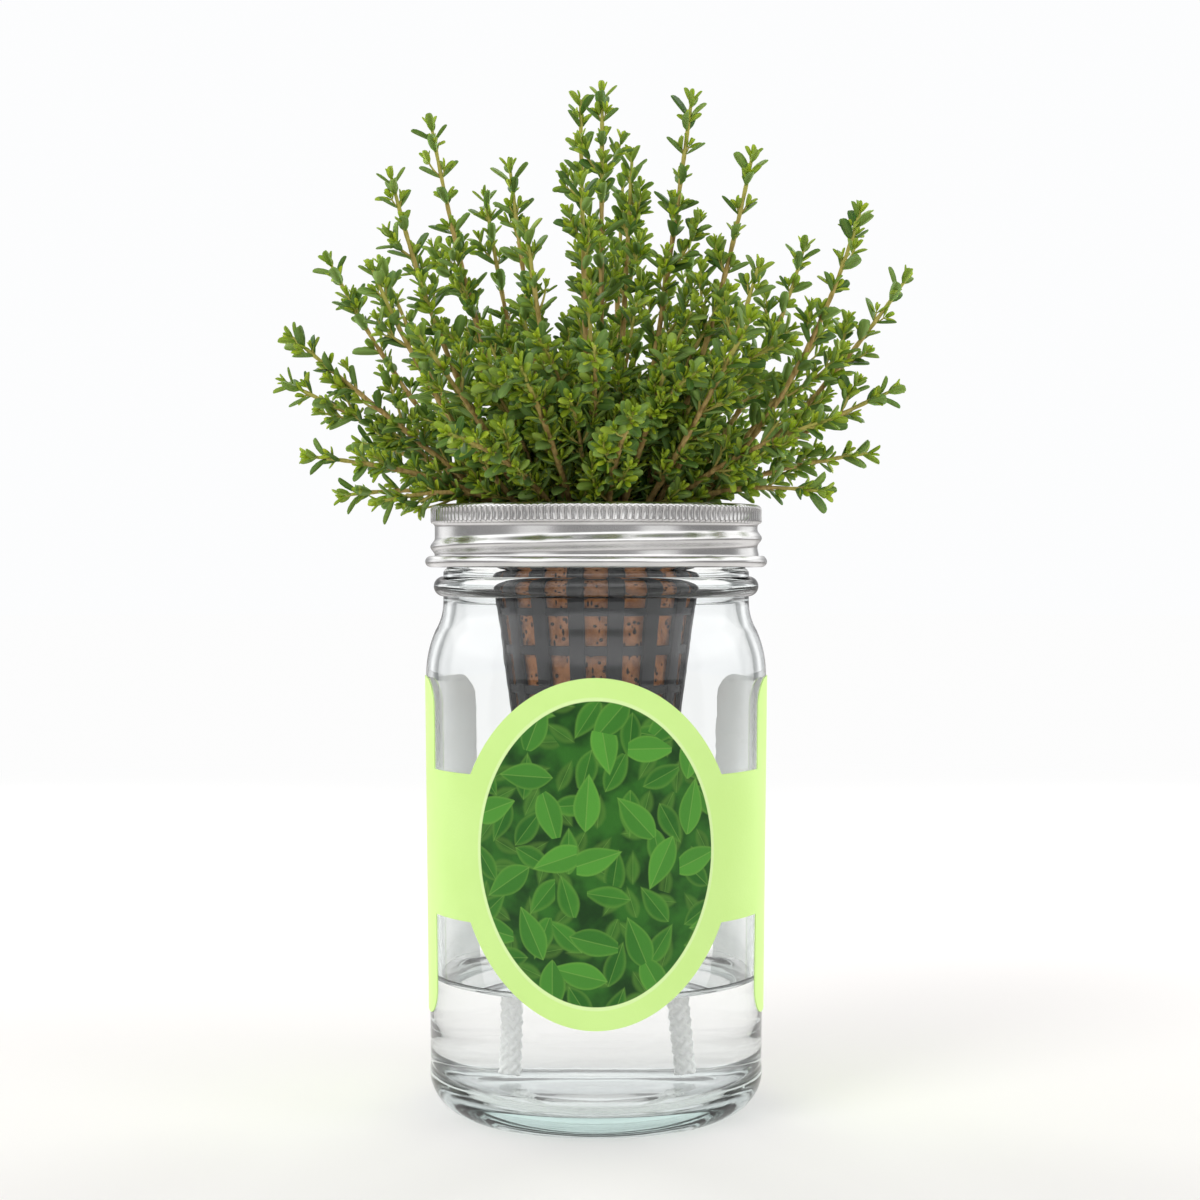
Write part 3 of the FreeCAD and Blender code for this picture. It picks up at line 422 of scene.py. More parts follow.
class TubeMaker:
    """Collects round tubes in one mesh, with the wood's age at each point where it is given."""

    def __init__(self):
        self.vertices, self.faces, self.ages = [], [], []

    def tube(self, points, radii, sides, ages=()):
        """Add a closed tube through the points, with a radius at each."""
        start = len(self.vertices)
        last = start + (len(points) - 1) * sides
        sideways = (points[1] - points[0]).normalized().orthogonal().normalized()
        for point, radius, (across, upwards) in zip(points, radii, frames_along(points, sideways)):
            for side in range(sides):
                offset = swing(across, upwards, FULL_TURN * side / sides)
                self.vertices.append(tuple(point + offset * radius))
        for age in ages:
            self.ages += [age] * sides
        for low in range(start, last, sides):
            for side in range(sides):
                following = (side + 1) % sides
                self.faces.append((low + side, low + following, low + sides + following, low + sides + side))
        self.faces.append(tuple(start + side for side in reversed(range(sides))))
        self.faces.append(tuple(last + side for side in range(sides)))

    def make(self, name):
        columns = {"age": self.ages} if self.ages else {}
        return mesh_piece(name, self.vertices, self.faces, **columns)


# %% Braid the strands round each line
STRANDS_EACH_WAY = 5
BRAID_PITCH, BRAID_STEP = 0.0165, 0.0007
STRAND_RADIUS, WEAVE_DEPTH = 0.00068, 0.0003
CORE_RADIUS = WICK_DIAMETER / 2 - STRAND_RADIUS
BRAID_RADIUS = CORE_RADIUS - WEAVE_DEPTH


def even_line(line, spacing):
    """The same line with points at equal steps, and its length."""
    lengths = lengths_along(line)
    count = round(lengths[-1] / spacing)
    even = []
    for step in range(count + 1):
        target = lengths[-1] * step / count
        place = min(int(np.searchsorted(lengths, target + TINY, "right")) - 1, len(line) - 2)
        share = (target - lengths[place]) / (lengths[place + 1] - lengths[place])
        even.append(line[place].lerp(line[place + 1], share))
    return even, lengths[-1]


def braid(name, line):
    """A core, and strands that wind round it both ways."""
    middle, length = even_line(line, BRAID_STEP)
    maker = TubeMaker()
    maker.tube(middle, [CORE_RADIUS] * len(middle), 12)
    frames = frames_along(middle, Vector((1, 0, 0)))
    for way in (1, -1):
        for strand in range(STRANDS_EACH_WAY):
            points = []
            for place, (point, (first, second)) in enumerate(zip(middle, frames)):
                twist = FULL_TURN * (length * place / (len(middle) - 1)) / BRAID_PITCH
                turn = FULL_TURN * strand / STRANDS_EACH_WAY + way * twist
                reach = BRAID_RADIUS + way * WEAVE_DEPTH * math.cos(STRANDS_EACH_WAY * twist)
                points.append(point + swing(first, second, turn) * reach)
            maker.tube(points, [STRAND_RADIUS] * len(points), 6)
    return maker.make(f"cotton_{name}"), length


wicks = {}
for name, route in WICK_ROUTES.items():
    line = spline_line(name, route)
    wicks[name], spline_length = braid(name, line)
    finish(wicks[name], "plant", "wick_cotton", name)
    print(f"{name}: spline length {spline_length / MM:.1f} mm")

# %% Cotton
cotton, tree, surface, place = new_material(
    "braided_cotton", {"Base Color": (0.93, 0.93, 0.92), "Roughness": 0.85, "Sheen Weight": 0.25}
)
yarn = place_tones(tree, place, 900.0, (0.93, 0.93, 0.92), (0.985, 0.985, 0.98))
threads = place_relief(tree, place, 2600.0, 0.0002)
feed(tree, surface.inputs, {"Base Color": yarn["Color"], "Normal": threads["Normal"]})
for wick in wicks.values():
    wick.data.materials.append(cotton)

# %% [markdown]
# ## The glass jar
#
# Pressed glass has thick walls, a heavy rounded foot, a bead under the thread and soft edges all round.
# One closed section, outside and inside together, gives the wall its true thickness, which is what
# makes glass look right: light bends once on the way in and once on the way out.

# %% Turn the jar
NECK_RADIUS = 43.2
jar_section = outline(
    (38.6, 0.0),
    (44.6, 3.9, 46.9, 13.0, 14),
    (47.45, 67.0),
    (48.0, 121.0),
    (47.3, 129.5, 45.4, 135.2, 12),
    (43.8, 138.9, NECK_RADIUS, 143.2, 8),
    (NECK_RADIUS, 144.8),
    (45.9, 147.6, NECK_RADIUS, 150.4, 16),
    (NECK_RADIUS, 151.6),
    (42.75, 152.3),
    (42.2, 152.8),
    (42.2, 167.3),
    (41.82, 168.22, 40.9, 168.6, 5),
    (39.9, 168.6),
    (38.98, 168.22, 38.6, 167.3, 5),
    (38.6, 151.6),
    (38.9, 147.0),
    (39.6, 143.2),
    (40.2, 138.9, 42.1, 134.2, 8),
    (44.0, 128.5, 44.7, 121.0, 12),
    (44.15, 70.0),
    (43.6, 19.0),
    (40.5, 10.2, 31.0, 7.2, 14),
    (29.2, 7.5),
    (28.2, 7.3),
    (16.0, 8.0),
    (0.0, 8.8),
    (0.0, 4.2),
    (12.0, 3.9),
    (22.0, 3.1),
    (25.0, 2.4),
    (33.0, 1.8),
    (36.4, 1.0),
    (37.4, 0.0),
)
jar = turned("jar_glass_body", jar_section, 192, math.radians(50))

# %% [markdown]
# The screw thread is one raised ridge that climbs a turn and a quarter. A small four-sided section is
# extruded in a straight row, and the row is then bent into a helix that rises by the thread's pitch. A
# union with the jar leaves one closed skin.

# %% Add the thread ridge
PITCH = 5.08
RIDGE_TURNS, RIDGE_STEPS, FADE_STEPS = 1.25, 90, 6
RIDGE_CORNERS = [(41.7, 156.05), (44.4, 156.65), (41.7, 158.35), (44.4, 157.75)]
FADED_CREST, RIDGE_HEIGHT = 42.4, 2.0
ridge = new_piece(bpy.ops.mesh.primitive_plane_add, size=MM)
for vertex, (across, up) in zip(ridge.data.vertices, RIDGE_CORNERS):
    vertex.co = mm(across, 0, up)
edit_whole(bpy.ops.mesh.extrude_repeat, steps=RIDGE_STEPS, offset=(0, -MM, 0))
for vertex in ridge.data.vertices:
    step = round(-vertex.co.y / MM)
    turn = FULL_TURN * RIDGE_TURNS * step / RIDGE_STEPS
    fade = min(1.0, step / FADE_STEPS, (RIDGE_STEPS - step) / FADE_STEPS)
    reach = vertex.co.x
    if reach > FADED_CREST * MM:
        reach = (FADED_CREST + RIDGE_HEIGHT * fade) * MM
    climb = PITCH * MM * RIDGE_TURNS * step / RIDGE_STEPS
    vertex.co = (reach * math.cos(turn), reach * math.sin(turn), vertex.co.z + climb)
edit_whole(bpy.ops.mesh.normals_make_consistent, inside=False)
cut(jar, ridge, "UNION")
smooth(jar, math.radians(50))
finish(jar, "jar", "jar_glass", "glass_jar")

# %% Clear glass, a little green where it is thick
def rays(tree, *kinds):
    """For each kind, one where such a ray looks and nought elsewhere."""
    path = add(tree, "LightPath")
    return [path.outputs[f"Is {kind} Ray"] for kind in kinds]


def put_out(tree, share, first, second):
    """Make a blend of two shaders the material's surface."""
    blend = add(tree, "MixShader", {0: share, 1: first.outputs[0], 2: second.outputs[0]})
    feed(tree, tree.nodes["Material Output"].inputs, {"Surface": blend.outputs[0]})


def see_through(name, bending, tint):
    """Shadow and diffuse rays pass straight through, so what is inside is lit as in a real jar."""
    made, tree, surface, place = new_material(
        name, {"Base Color": (1, 1, 1), "Roughness": 0.0, "IOR": bending, "Transmission Weight": 1.0}
    )
    straight = add(tree, "BsdfTransparent", {"Color": tint})
    put_out(tree, maths(tree, "MAXIMUM", *rays(tree, "Shadow", "Diffuse")), surface, straight)
    return made, tree, surface, place


glass, tree, surface, place = see_through("clear_glass", 1.5, (0.99, 0.995, 0.993))
feed(tree, surface.inputs, {"Normal": place_relief(tree, place, 38.0, 0.00009)["Normal"]})
depth_tint = add(tree, "VolumeAbsorption", {"Color": (0.68, 0.85, 0.81), "Density": 15.0})
feed(tree, tree.nodes["Material Output"].inputs, {"Volume": depth_tint.outputs[0]})
jar.data.materials.append(glass)

# %% [markdown]
# ## Water
#
# The water fills the foot of the jar and creeps up the glass at its edge. Its mesh reaches a hair's
# breadth into the glass, because a gap of air between the two would shine like a mirror.

# %% Turn the water
water_section = outline(
    (0.0, 37.6),
    (20.0, 37.6),
    (38.0, 37.65),
    (41.8, 37.85, 43.95, 39.6, 8),
    (43.75, 19.0),
    (40.6, 10.1, 31.0, 7.05, 12),
    (29.2, 7.35),
    (28.2, 7.15),
    (16.0, 7.85),
    (0.0, 8.65),
)
water = turned("jar_water", water_section, 160, math.radians(60))
finish(water, "jar", "water", "water")
water.data.materials.append(see_through("clear_water", 1.333, (1, 1, 1))[0])

# %% [markdown]
# ## The screw band
#
# The band is thin pressed sheet: a flat lip, a knurled edge for grip, a rolled wave that climbs with
# the thread, and a curled foot. Its section is spun in many steps, so that each flute of the knurling
# gets six columns of faces and can be pressed in for real. A bump would leave the outline smooth, and
# the outline is what shows.

# %% Turn the band and press its flutes
band_section = outline(
    (38.0, 169.95),
    (38.0, 170.25),
    (38.3, 170.4),
    (44.6, 170.4),
    (46.35, 170.0, 46.8, 169.3, 6),
    (46.8, 169.0),
    (46.8, 167.2),
    (46.8, 165.9),
    (46.6, 165.3),
    (45.72, 164.75, 45.6, 164.1, 5),
    *[(45.6, 164.1 - 0.34 * step) for step in range(1, 24)],
    (45.85, 155.9),
    (48.3, 154.4, 46.9, 153.0, 12),
    (45.91, 153.41, 45.5, 154.4, 5),
    (45.05, 155.8),
    (45.05, 165.0),
    (46.2, 165.75),
    (46.2, 169.9),
)
FLUTES = 150
FLUTE_DEPTH = 0.68
KNURL_RADIUS, KNURL_LOW, KNURL_HIGH = 46.5, 165.2, 169.6
KNURL_FADE_LOW, KNURL_FADE_HIGH = 0.7, 0.5
WAVE_RADIUS, WAVE_LOW, WAVE_HIGH = 45.5, 155.95, 164.05
WAVE_HEIGHT, WAVE_HALF_HEIGHT, WAVE_MIDDLE = 1.25, 2.45, 161.2
WAVE_START, WAVE_RISE, WAVE_END, WAVE_FALL = 155.6, 1.6, 163.9, 1.2
band = turned("metal_screw_band", band_section, FLUTES * 6, math.radians(60))
for vertex in band.data.vertices:
    across, up = math.hypot(vertex.co.x, vertex.co.y) / MM, vertex.co.z / MM
    turn = math.atan2(vertex.co.y, vertex.co.x)
    if across > KNURL_RADIUS and KNURL_LOW < up < KNURL_HIGH:
        share = min(1.0, (up - KNURL_LOW) / KNURL_FADE_LOW, (KNURL_HIGH - up) / KNURL_FADE_HIGH)
        press = FLUTE_DEPTH * share * (0.5 + 0.5 * math.cos(FLUTES * turn))
        vertex.co.xy *= (across - press) / across
    elif across > WAVE_RADIUS and WAVE_LOW < up < WAVE_HIGH:
        bulge = 0.0
        for wind in (-1, 0):
            middle = WAVE_MIDDLE + PITCH * (turn / FULL_TURN + wind)
            away = abs(up - middle) / WAVE_HALF_HEIGHT
            if away < 1:
                fade = clamped((middle - WAVE_START) / WAVE_RISE) * clamped((WAVE_END - middle) / WAVE_FALL)
                bulge += WAVE_HEIGHT * fade * math.cos(math.pi / 2 * away) ** 2
        vertex.co.xy *= (across + bulge) / across
finish(band, "band", "band_metal", "screw_band")

# %% Satin metal
metal, tree, surface, place = new_material(
    "satin_metal", {"Base Color": (0.75, 0.745, 0.74), "Metallic": 1.0, "Roughness": 0.26}
)
stretch = add(tree, "Mapping", {"Vector": place, "Scale": (30.0, 30.0, 900.0)}).outputs[0]
rolled = place_relief(tree, stretch, 1.0, 0.000008)
shade = place_tones(tree, place, 60.0, (0.61, 0.605, 0.60), (0.71, 0.705, 0.70))
rough = ranged(tree, rolled["Value"], 0.19, 0.28)
feed(tree, surface.inputs, {"Base Color": shade["Color"], "Roughness": rough, "Normal": rolled["Normal"]})
band.data.materials.append(metal)

# %% [markdown]
# ## The net cup
#
# The cup is moulded in one shot from dark plastic: sixteen upright ribs stand a little proud of the
# hoops behind them, under a solid collar with a flat flange, on a floor with two holes for the wicks
# and six to drain it. One rib is shaped from a cube, rounded and copied round the axis. Collar, hoops
# and floor are turned.

# %% One rib, copied round the axis
RIBS, RIB_DEPTH = 16, 1.5
RIB_FOOT_WIDTH, RIB_TOP_WIDTH = 3.9, 4.7
CUP_FOOT, CUP_TOP = 93.0, 168.6
FOOT_RADIUS, TOP_RADIUS = 21.5, 31.6


def cup_radius(height):
    return FOOT_RADIUS + (TOP_RADIUS - FOOT_RADIUS) * (height - CUP_FOOT) / (CUP_TOP - CUP_FOOT)


rib = new_piece(bpy.ops.mesh.primitive_cube_add, size=1)
for vertex in rib.data.vertices:
    height, width = (CUP_TOP - 0.2, RIB_TOP_WIDTH) if vertex.co.z > 0 else (CUP_FOOT, RIB_FOOT_WIDTH)
    inwards = 0.0 if vertex.co.x > 0 else RIB_DEPTH
    vertex.co = mm(cup_radius(height) - inwards, vertex.co.y * width, height)
apply_modifier(rib, "BEVEL", width=0.35 * MM, segments=2)
ribs = []
for number in range(RIBS):
    copy = link("cup_rib", rib.data.copy())
    copy.rotation_euler = (0, 0, FULL_TURN * (number + 0.5) / RIBS)
    apply_place(copy)
    ribs.append(copy)
bpy.data.objects.remove(rib)

# %% Hoops, collar with flange, and floor
HOOPS = [140.8, 130.1, 119.4, 108.7, 98.0]
HOOP_HALF_HEIGHT = 1.25
rings = []
for height in HOOPS:
    low, high = height - HOOP_HALF_HEIGHT, height + HOOP_HALF_HEIGHT
    section = [
        (cup_radius(low) - 1.35, low),
        (cup_radius(low) - 0.55, low),
        (cup_radius(low) - 0.35, low + 0.2),
        (cup_radius(high) - 0.35, high - 0.2),
        (cup_radius(high) - 0.55, high),
        (cup_radius(high) - 1.35, high),
    ]
    rings.append(turned("cup_hoop", section, 96))
collar = outline(
    (cup_radius(155.5) - 1.2, 155.5),
    (cup_radius(155.5) - 0.3, 155.5),
    (TOP_RADIUS - 0.2, 168.0),
    (31.9, 168.45),
    (32.5, 168.6),
    (45.3, 168.6),
    (45.6, 168.8),
    (45.6, 169.6),
    (45.3, 169.8),
    (30.9, 169.8),
    (30.5, 169.65, 30.4, 169.2, 3),
)
rings.append(turned("cup_collar", collar, 128))
floor = turned(
    "cup_floor",
    [(0, 93.2), (20.9, 93.2), (21.2, 93.0), (21.45, 93.2), (21.6, 94.5), (0, 94.5)],
    96,
)
HOLE_MIDDLE, DRAIN_HOLES, DRAIN_REACH = 94.0, 6, 8.5
holes = [(-16.0, 0.0, 3.2), (16.0, 0.0, 3.2)]
for number in range(DRAIN_HOLES):
    turn = FULL_TURN * (number + 0.5) / DRAIN_HOLES
    holes.append((DRAIN_REACH * math.cos(turn), DRAIN_REACH * math.sin(turn), 2.2))
for across, along, radius in holes:
    drill = new_piece(
        bpy.ops.mesh.primitive_cylinder_add,
        vertices=40,
        radius=radius * MM,
        depth=6 * MM,
        location=mm(across, along, HOLE_MIDDLE),
    )
    cut(floor, drill)
cup = join("net_cup_basket", [floor, *rings, *ribs])
smooth(cup, math.radians(32))
finish(cup, "basket", "cup_plastic", "net_cup")

# %% Dark moulded plastic
plastic, tree, surface, place = new_material(
    "dark_plastic", {"Base Color": (0.05, 0.05, 0.053), "Roughness": 0.42, "Specular IOR Level": 0.12}
)
cloud = place_tones(tree, place, 120.0, (0.013, 0.013, 0.014), (0.026, 0.026, 0.028))
skin = place_relief(tree, place, 1500.0, 0.00008)
rough = ranged(tree, cloud["Value"], 0.36, 0.52)
feed(tree, surface.inputs, {"Base Color": cloud["Color"], "Roughness": rough, "Normal": skin["Normal"]})
cup.data.materials.append(plastic)

# %% [markdown]
# ## The growing plug
#
# The plug is pressed coir: warm brown, finely pitted, with short dark fibres. A turned cone gets
# its uneven skin from a displacement that only eats inwards, so that it never swells into the cup.
# Crumbs and loose fibres lie on its top, between the stems.

# %% Turn the plug and roughen it
PLUG_FOOT, PLUG_TOP = 94.8, 162.0
PLUG_FOOT_RADIUS, PLUG_TOP_RADIUS = 20.24, 29.2
FOOT_STEPS, SIDE_STEPS, TOP_STEPS = 14, 46, 20
plug_section = [(PLUG_FOOT_RADIUS * step / FOOT_STEPS, PLUG_FOOT) for step in range(FOOT_STEPS + 1)]
for step in range(1, SIDE_STEPS + 1):
    share = step / SIDE_STEPS
    reach = PLUG_FOOT_RADIUS + (PLUG_TOP_RADIUS - PLUG_FOOT_RADIUS) * share
    plug_section.append((reach, PLUG_FOOT + (PLUG_TOP - PLUG_FOOT) * share))
plug_section += [(PLUG_TOP_RADIUS * step / TOP_STEPS, PLUG_TOP) for step in reversed(range(TOP_STEPS))]
plug = turned("coir_plug", plug_section, 150, math.radians(70))
lumps = bpy.data.textures.new("coir_lumps", "CLOUDS")
lumps.noise_scale = 0.0032
lumps.noise_depth = 2
apply_modifier(plug, "DISPLACE", texture=lumps, texture_coords="GLOBAL", strength=0.9 * MM, mid_level=1.0)

# %% Crumbs and fibres on the top
chance = random.Random(11)
CRUMBS, FIBRES = 420, 150
CRUMB_REACH, FIBRE_REACH, FIBRE_RADIUS = 27.5, 26.0, 0.09
crumb = new_piece(bpy.ops.mesh.primitive_ico_sphere_add, subdivisions=1, radius=1)
crumb_shape = np.array([vertex.co[:] for vertex in crumb.data.vertices])
crumb_faces = [tuple(face.vertices) for face in crumb.data.polygons]
bpy.data.objects.remove(crumb)
crumb_vertices, crumb_rows = [], []
for number in range(CRUMBS):
    turn, reach = chance.uniform(0, FULL_TURN), CRUMB_REACH * math.sqrt(chance.random())
    size = chance.uniform(0.5, 1.5)
    stretch = np.array([chance.uniform(0.7, 1.3) for axis in range(3)]) * size
    tilt = Quaternion((chance.random(), chance.random(), chance.random()), chance.uniform(0, 3)).to_matrix()
    middle = np.array([reach * math.cos(turn), reach * math.sin(turn), PLUG_TOP + size * 0.15 - 0.4])
    rough_shape = crumb_shape * (1 + np.array([[chance.uniform(-0.2, 0.2)] for row in crumb_shape]))
    placed = (rough_shape * stretch) @ np.array(tilt).T + middle
    base = len(crumb_vertices)
    crumb_vertices += [tuple(row * MM) for row in placed]
    crumb_rows += [tuple(base + corner for corner in face) for face in crumb_faces]
crumbs = mesh_piece("coir_crumbs", crumb_vertices, crumb_rows, rounded=False)
fibres = TubeMaker()
for number in range(FIBRES):
    turn, reach = chance.uniform(0, FULL_TURN), FIBRE_REACH * math.sqrt(chance.random())
    start = Vector((reach * math.cos(turn), reach * math.sin(turn), PLUG_TOP - 0.3))
    run = level(chance.uniform(0, FULL_TURN)) * chance.uniform(2, 5)
    if (start + run).xy.length > CRUMB_REACH:
        continue
    lift = UP * chance.uniform(0.3, 1.6)
    bent = run.cross(UP) * chance.uniform(-0.3, 0.3)
    points = [start, start + run * 0.35 + lift + bent * 0.6, start + run * 0.7 + lift + bent, start + run]
    fibres.tube([point * MM for point in points], [FIBRE_RADIUS * MM] * 4, 4)
plug = join("coir_plug", [plug, crumbs, fibres.make("coir_fibres")])
finish(plug, "plant", "plug_coir", "grow_plug")

# %% Coir
coir, tree, surface, place = new_material(
    "pressed_coir", {"Base Color": (0.28, 0.12, 0.06), "Roughness": 0.9, "Specular IOR Level": 0.08}
)
brown = place_tones(tree, place, 420.0, (0.23, 0.088, 0.028), (0.37, 0.155, 0.058))["Color"]
pits = add(tree, "TexVoronoi", {"Vector": place, "Scale": 430.0}).outputs["Distance"]
tilted = {"Vector": place, "Scale": (1.0, 1.0, 0.35), "Rotation": (0.6, 0.4, 0.3)}
streak_space = add(tree, "Mapping", tilted).outputs[0]
streaks = add(tree, "TexVoronoi", {"Vector": streak_space, "Scale": 620.0}).outputs["Distance"]
whole_skin = maths(tree, "MINIMUM", between(tree, pits, 0.22, 0.30), between(tree, streaks, 0.17, 0.25))
flecked = mixed(tree, whole_skin, (0.022, 0.010, 0.005), brown)
top_tone = mixed(tree, whole_skin, (0.03, 0.016, 0.01), (0.12, 0.06, 0.03))
height = add(tree, "SeparateXYZ", {0: place}).outputs["Z"]
on_top = between(tree, height, (PLUG_TOP - 1.6) * MM, (PLUG_TOP - 0.6) * MM)
grit = place_relief(tree, place, 900.0, 0.0005)
feed(tree, surface.inputs, {"Base Color": mixed(tree, on_top, flecked, top_tone), "Normal": grit["Normal"]})
plug.data.materials.append(coir)

# %% [markdown]
# ## The paper label
#
# The label is one sheet of lime paper wrapped round the glass: an oval in front, a strap, and a tall
# panel with rounded corners on each side. A thin turned shell is crossed with the label's outline as
# seen from the front, which is how a die would cut it. Its back is plain pale paper, and it is seen
# through the glass, so the shell's inner faces get a material of their own.

# %% Shell crossed with the outline
LABEL_MIDDLE, PANEL_LOW, PANEL_HIGH = 77.4, 28.7, 122.4


def label_radius(height):
    """A hair outside the glass, which widens by 1.1 mm over 108 mm."""
    return 46.96 + 1.1 * (height - 13.0) / 108.0


SHELL_LOW, SHELL_HIGH, PAPER = 18.0, 132.0, 0.3
label = turned(
    "paper_label",
    [
        (label_radius(SHELL_LOW), SHELL_LOW),
        (label_radius(SHELL_LOW) + PAPER, SHELL_LOW),
        (label_radius(SHELL_HIGH) + PAPER, SHELL_HIGH),
        (label_radius(SHELL_HIGH), SHELL_HIGH),
    ],
    288,
)
oval = new_piece(
    bpy.ops.mesh.primitive_cylinder_add,
    vertices=256,
    radius=1,
    depth=1,
    location=mm(0, -30, LABEL_MIDDLE),
    rotation=(math.pi / 2, 0, 0),
    scale=mm(37.4, 46.6, 60),
)


def box(middle, size):
    return new_piece(bpy.ops.mesh.primitive_cube_add, size=1, location=mm(*middle), scale=mm(*size))


strap = box((0, -48, LABEL_MIDDLE), (120, 60, 40))
panels = box((0, 5.6, (PANEL_LOW + PANEL_HIGH) / 2), (120, 47.2, PANEL_HIGH - PANEL_LOW))
bpy.ops.object.mode_set(mode="EDIT")
bpy.ops.mesh.select_all(action="DESELECT")
bpy.ops.object.mode_set(mode="OBJECT")
for edge in panels.data.edges:
    first, second = (panels.data.vertices[index].co for index in edge.vertices)
    edge.select = abs(first.x - second.x) > 50 * MM
bpy.ops.object.mode_set(mode="EDIT")
bpy.ops.mesh.bevel(offset=8 * MM, segments=12)
bpy.ops.object.mode_set(mode="OBJECT")
cut(strap, panels, "UNION")
cut(strap, oval, "UNION")
cut(label, strap, "INTERSECT")
smooth(label, math.radians(30))

# %% Unroll the label on the table for its print
unrolled = label.data.uv_layers.new(name="unrolled")
SHEET, MEAN_RADIUS = 100 * MM, 47.6
for loop, corner in zip(label.data.loops, unrolled.data):
    spot = label.data.vertices[loop.vertex_index].co
    around = math.atan2(spot.x, -spot.y) * MEAN_RADIUS * MM
    corner.uv = (around / SHEET, spot.z / SHEET)
for face in label.data.polygons:
    outwards = Vector((face.center.x, face.center.y, 0)).normalized()
    face.material_index = 1 if face.normal.dot(outwards) < -0.5 else 0
finish(label, "jar", "label_paper", "label")

# %% [markdown]
# ## The print on the label
#
# The front oval carries a leafy pattern, with nothing written on it. A cell texture scatters leaves:
# in each cell the distance from its middle is turned by a random angle and compared with a leaf's
# outline. Three such layers, from soft and dark to sharp and light, lie over each other.

# %% One leaf in each cell, as a node group
LEAF_HALF_LENGTH, LEAF_HALF_WIDTH = 0.56, 0.26
scatter, given, wanted = new_group(
    "leaf_scatter",
    {"Vector": "Vector", "Scale": "Float", "Softness": "Float"},
    {"Mask": "Float", "Tone": "Float", "Rim": "Float", "Vein": "Float"},
)
spot, scale, softness = given["Vector"], given["Scale"], given["Softness"]
cell_inputs = {"Vector": spot, "Scale": scale, "Randomness": 0.7}
cells = add(scatter, "TexVoronoi", cell_inputs, voronoi_dimensions="2D").outputs
local = add(scatter, "VectorMath", {0: spot, 1: cells["Position"]}, operation="SUBTRACT").outputs[0]
in_cell = add(scatter, "VectorMath", {0: local, "Scale": scale}, operation="SCALE").outputs[0]
dice = add(scatter, "SeparateColor", {0: cells["Color"]}).outputs
turn_inputs = {"Vector": in_cell, "Angle": times(scatter, dice[0], FULL_TURN)}
aimed = add(scatter, "VectorRotate", turn_inputs, rotation_type="Z_AXIS").outputs[0]
parts = add(scatter, "SeparateXYZ", {0: aimed}).outputs
length_share = maths(scatter, "DIVIDE", parts["X"], LEAF_HALF_LENGTH)
belly = maths(scatter, "SUBTRACT", 1.0, times(scatter, length_share, length_share))
skew = maths(scatter, "MULTIPLY_ADD", length_share, 0.3, 1.0)
half_width = times(scatter, times(scatter, belly, skew), LEAF_HALF_WIDTH)
from_middle = maths(scatter, "ABSOLUTE", parts["Y"])
inside = maths(scatter, "SUBTRACT", half_width, from_middle)
one_half = between(scatter, parts["Y"], -0.03, 0.03)
results = {
    "Mask": between(scatter, inside, 0.0, softness),
    "Rim": between(scatter, inside, times(scatter, softness, 2.2), 0.0),
    "Vein": between(scatter, from_middle, 0.016, 0.004),
    "Tone": maths(scatter, "MULTIPLY_ADD", one_half, 0.28, times(scatter, dice[1], 0.6)),
}
feed(scatter, wanted, results)

# %% Lime paper with the printed oval
PRINT_MIDDLE, PRINT_HALF_WIDTH, PRINT_HALF_HEIGHT = 77.5, 30.9, 40.4
paper, tree, surface, place = new_material(
    "lime_paper", {"Base Color": (0.65, 0.93, 0.30), "Roughness": 0.5, "Specular IOR Level": 0.25}
)
sheet_place = add(tree, "UVMap", uv_map="unrolled").outputs[0]
lime = place_tones(tree, place, 45.0, (0.64, 0.92, 0.29), (0.66, 0.935, 0.31))["Color"]
printed = place_tones(tree, sheet_place, 9.0, (0.008, 0.045, 0.006), (0.03, 0.15, 0.015))["Color"]
# Each layer's scale, softness, offset, dark tone, light tone and cover.
LEAF_LAYERS = [
    (11.0, 0.16, (0.1, 0.4, 0), (0.012, 0.075, 0.008), (0.04, 0.19, 0.02), 0.85),
    (8.4, 0.06, (0.33, 0.71, 0), (0.02, 0.12, 0.012), (0.065, 0.27, 0.028), 0.9),
    (7.0, 0.035, (0.62, 0.18, 0), (0.035, 0.17, 0.018), (0.10, 0.36, 0.04), 1.0),
]
for scale, softness, offset, dark, light, cover in LEAF_LAYERS:
    moved = add(tree, "Mapping", {"Vector": sheet_place, "Location": offset}).outputs[0]
    inputs = {"Vector": moved, "Scale": scale, "Softness": softness}
    leaves = add(tree, "Group", inputs, node_tree=scatter).outputs
    body = mixed(tree, leaves["Tone"], dark, light)
    rimmed = mixed(tree, times(tree, leaves["Rim"], 0.35), body, (0.24, 0.46, 0.07))
    veined = mixed(tree, times(tree, leaves["Vein"], 0.4), rimmed, (0.22, 0.42, 0.08))
    printed = mixed(tree, times(tree, leaves["Mask"], cover), printed, veined)
spot = add(tree, "SeparateXYZ", {0: place}).outputs
across = maths(tree, "DIVIDE", spot["X"], PRINT_HALF_WIDTH * MM)
above = maths(tree, "SUBTRACT", spot["Z"], PRINT_MIDDLE * MM)
upwards = maths(tree, "DIVIDE", above, PRINT_HALF_HEIGHT * MM)
ring = maths(tree, "SQRT", maths(tree, "MULTIPLY_ADD", across, across, times(tree, upwards, upwards)))
in_front = maths(tree, "LESS_THAN", spot["Y"], 0.0)
inside = times(tree, between(tree, ring, 1.003, 0.997), in_front)
edge_line = times(tree, between(tree, ring, 1.03, 1.018), in_front)
framed = mixed(tree, times(tree, edge_line, 0.6), lime, (0.80, 0.97, 0.52))
looks = {
    "Base Color": mixed(tree, inside, framed, printed),
    "Roughness": ranged(tree, inside, 0.52, 0.34),
    "Normal": place_relief(tree, place, 1400.0, 0.00004)["Normal"],
}
feed(tree, surface.inputs, looks)
label.data.materials.append(paper)

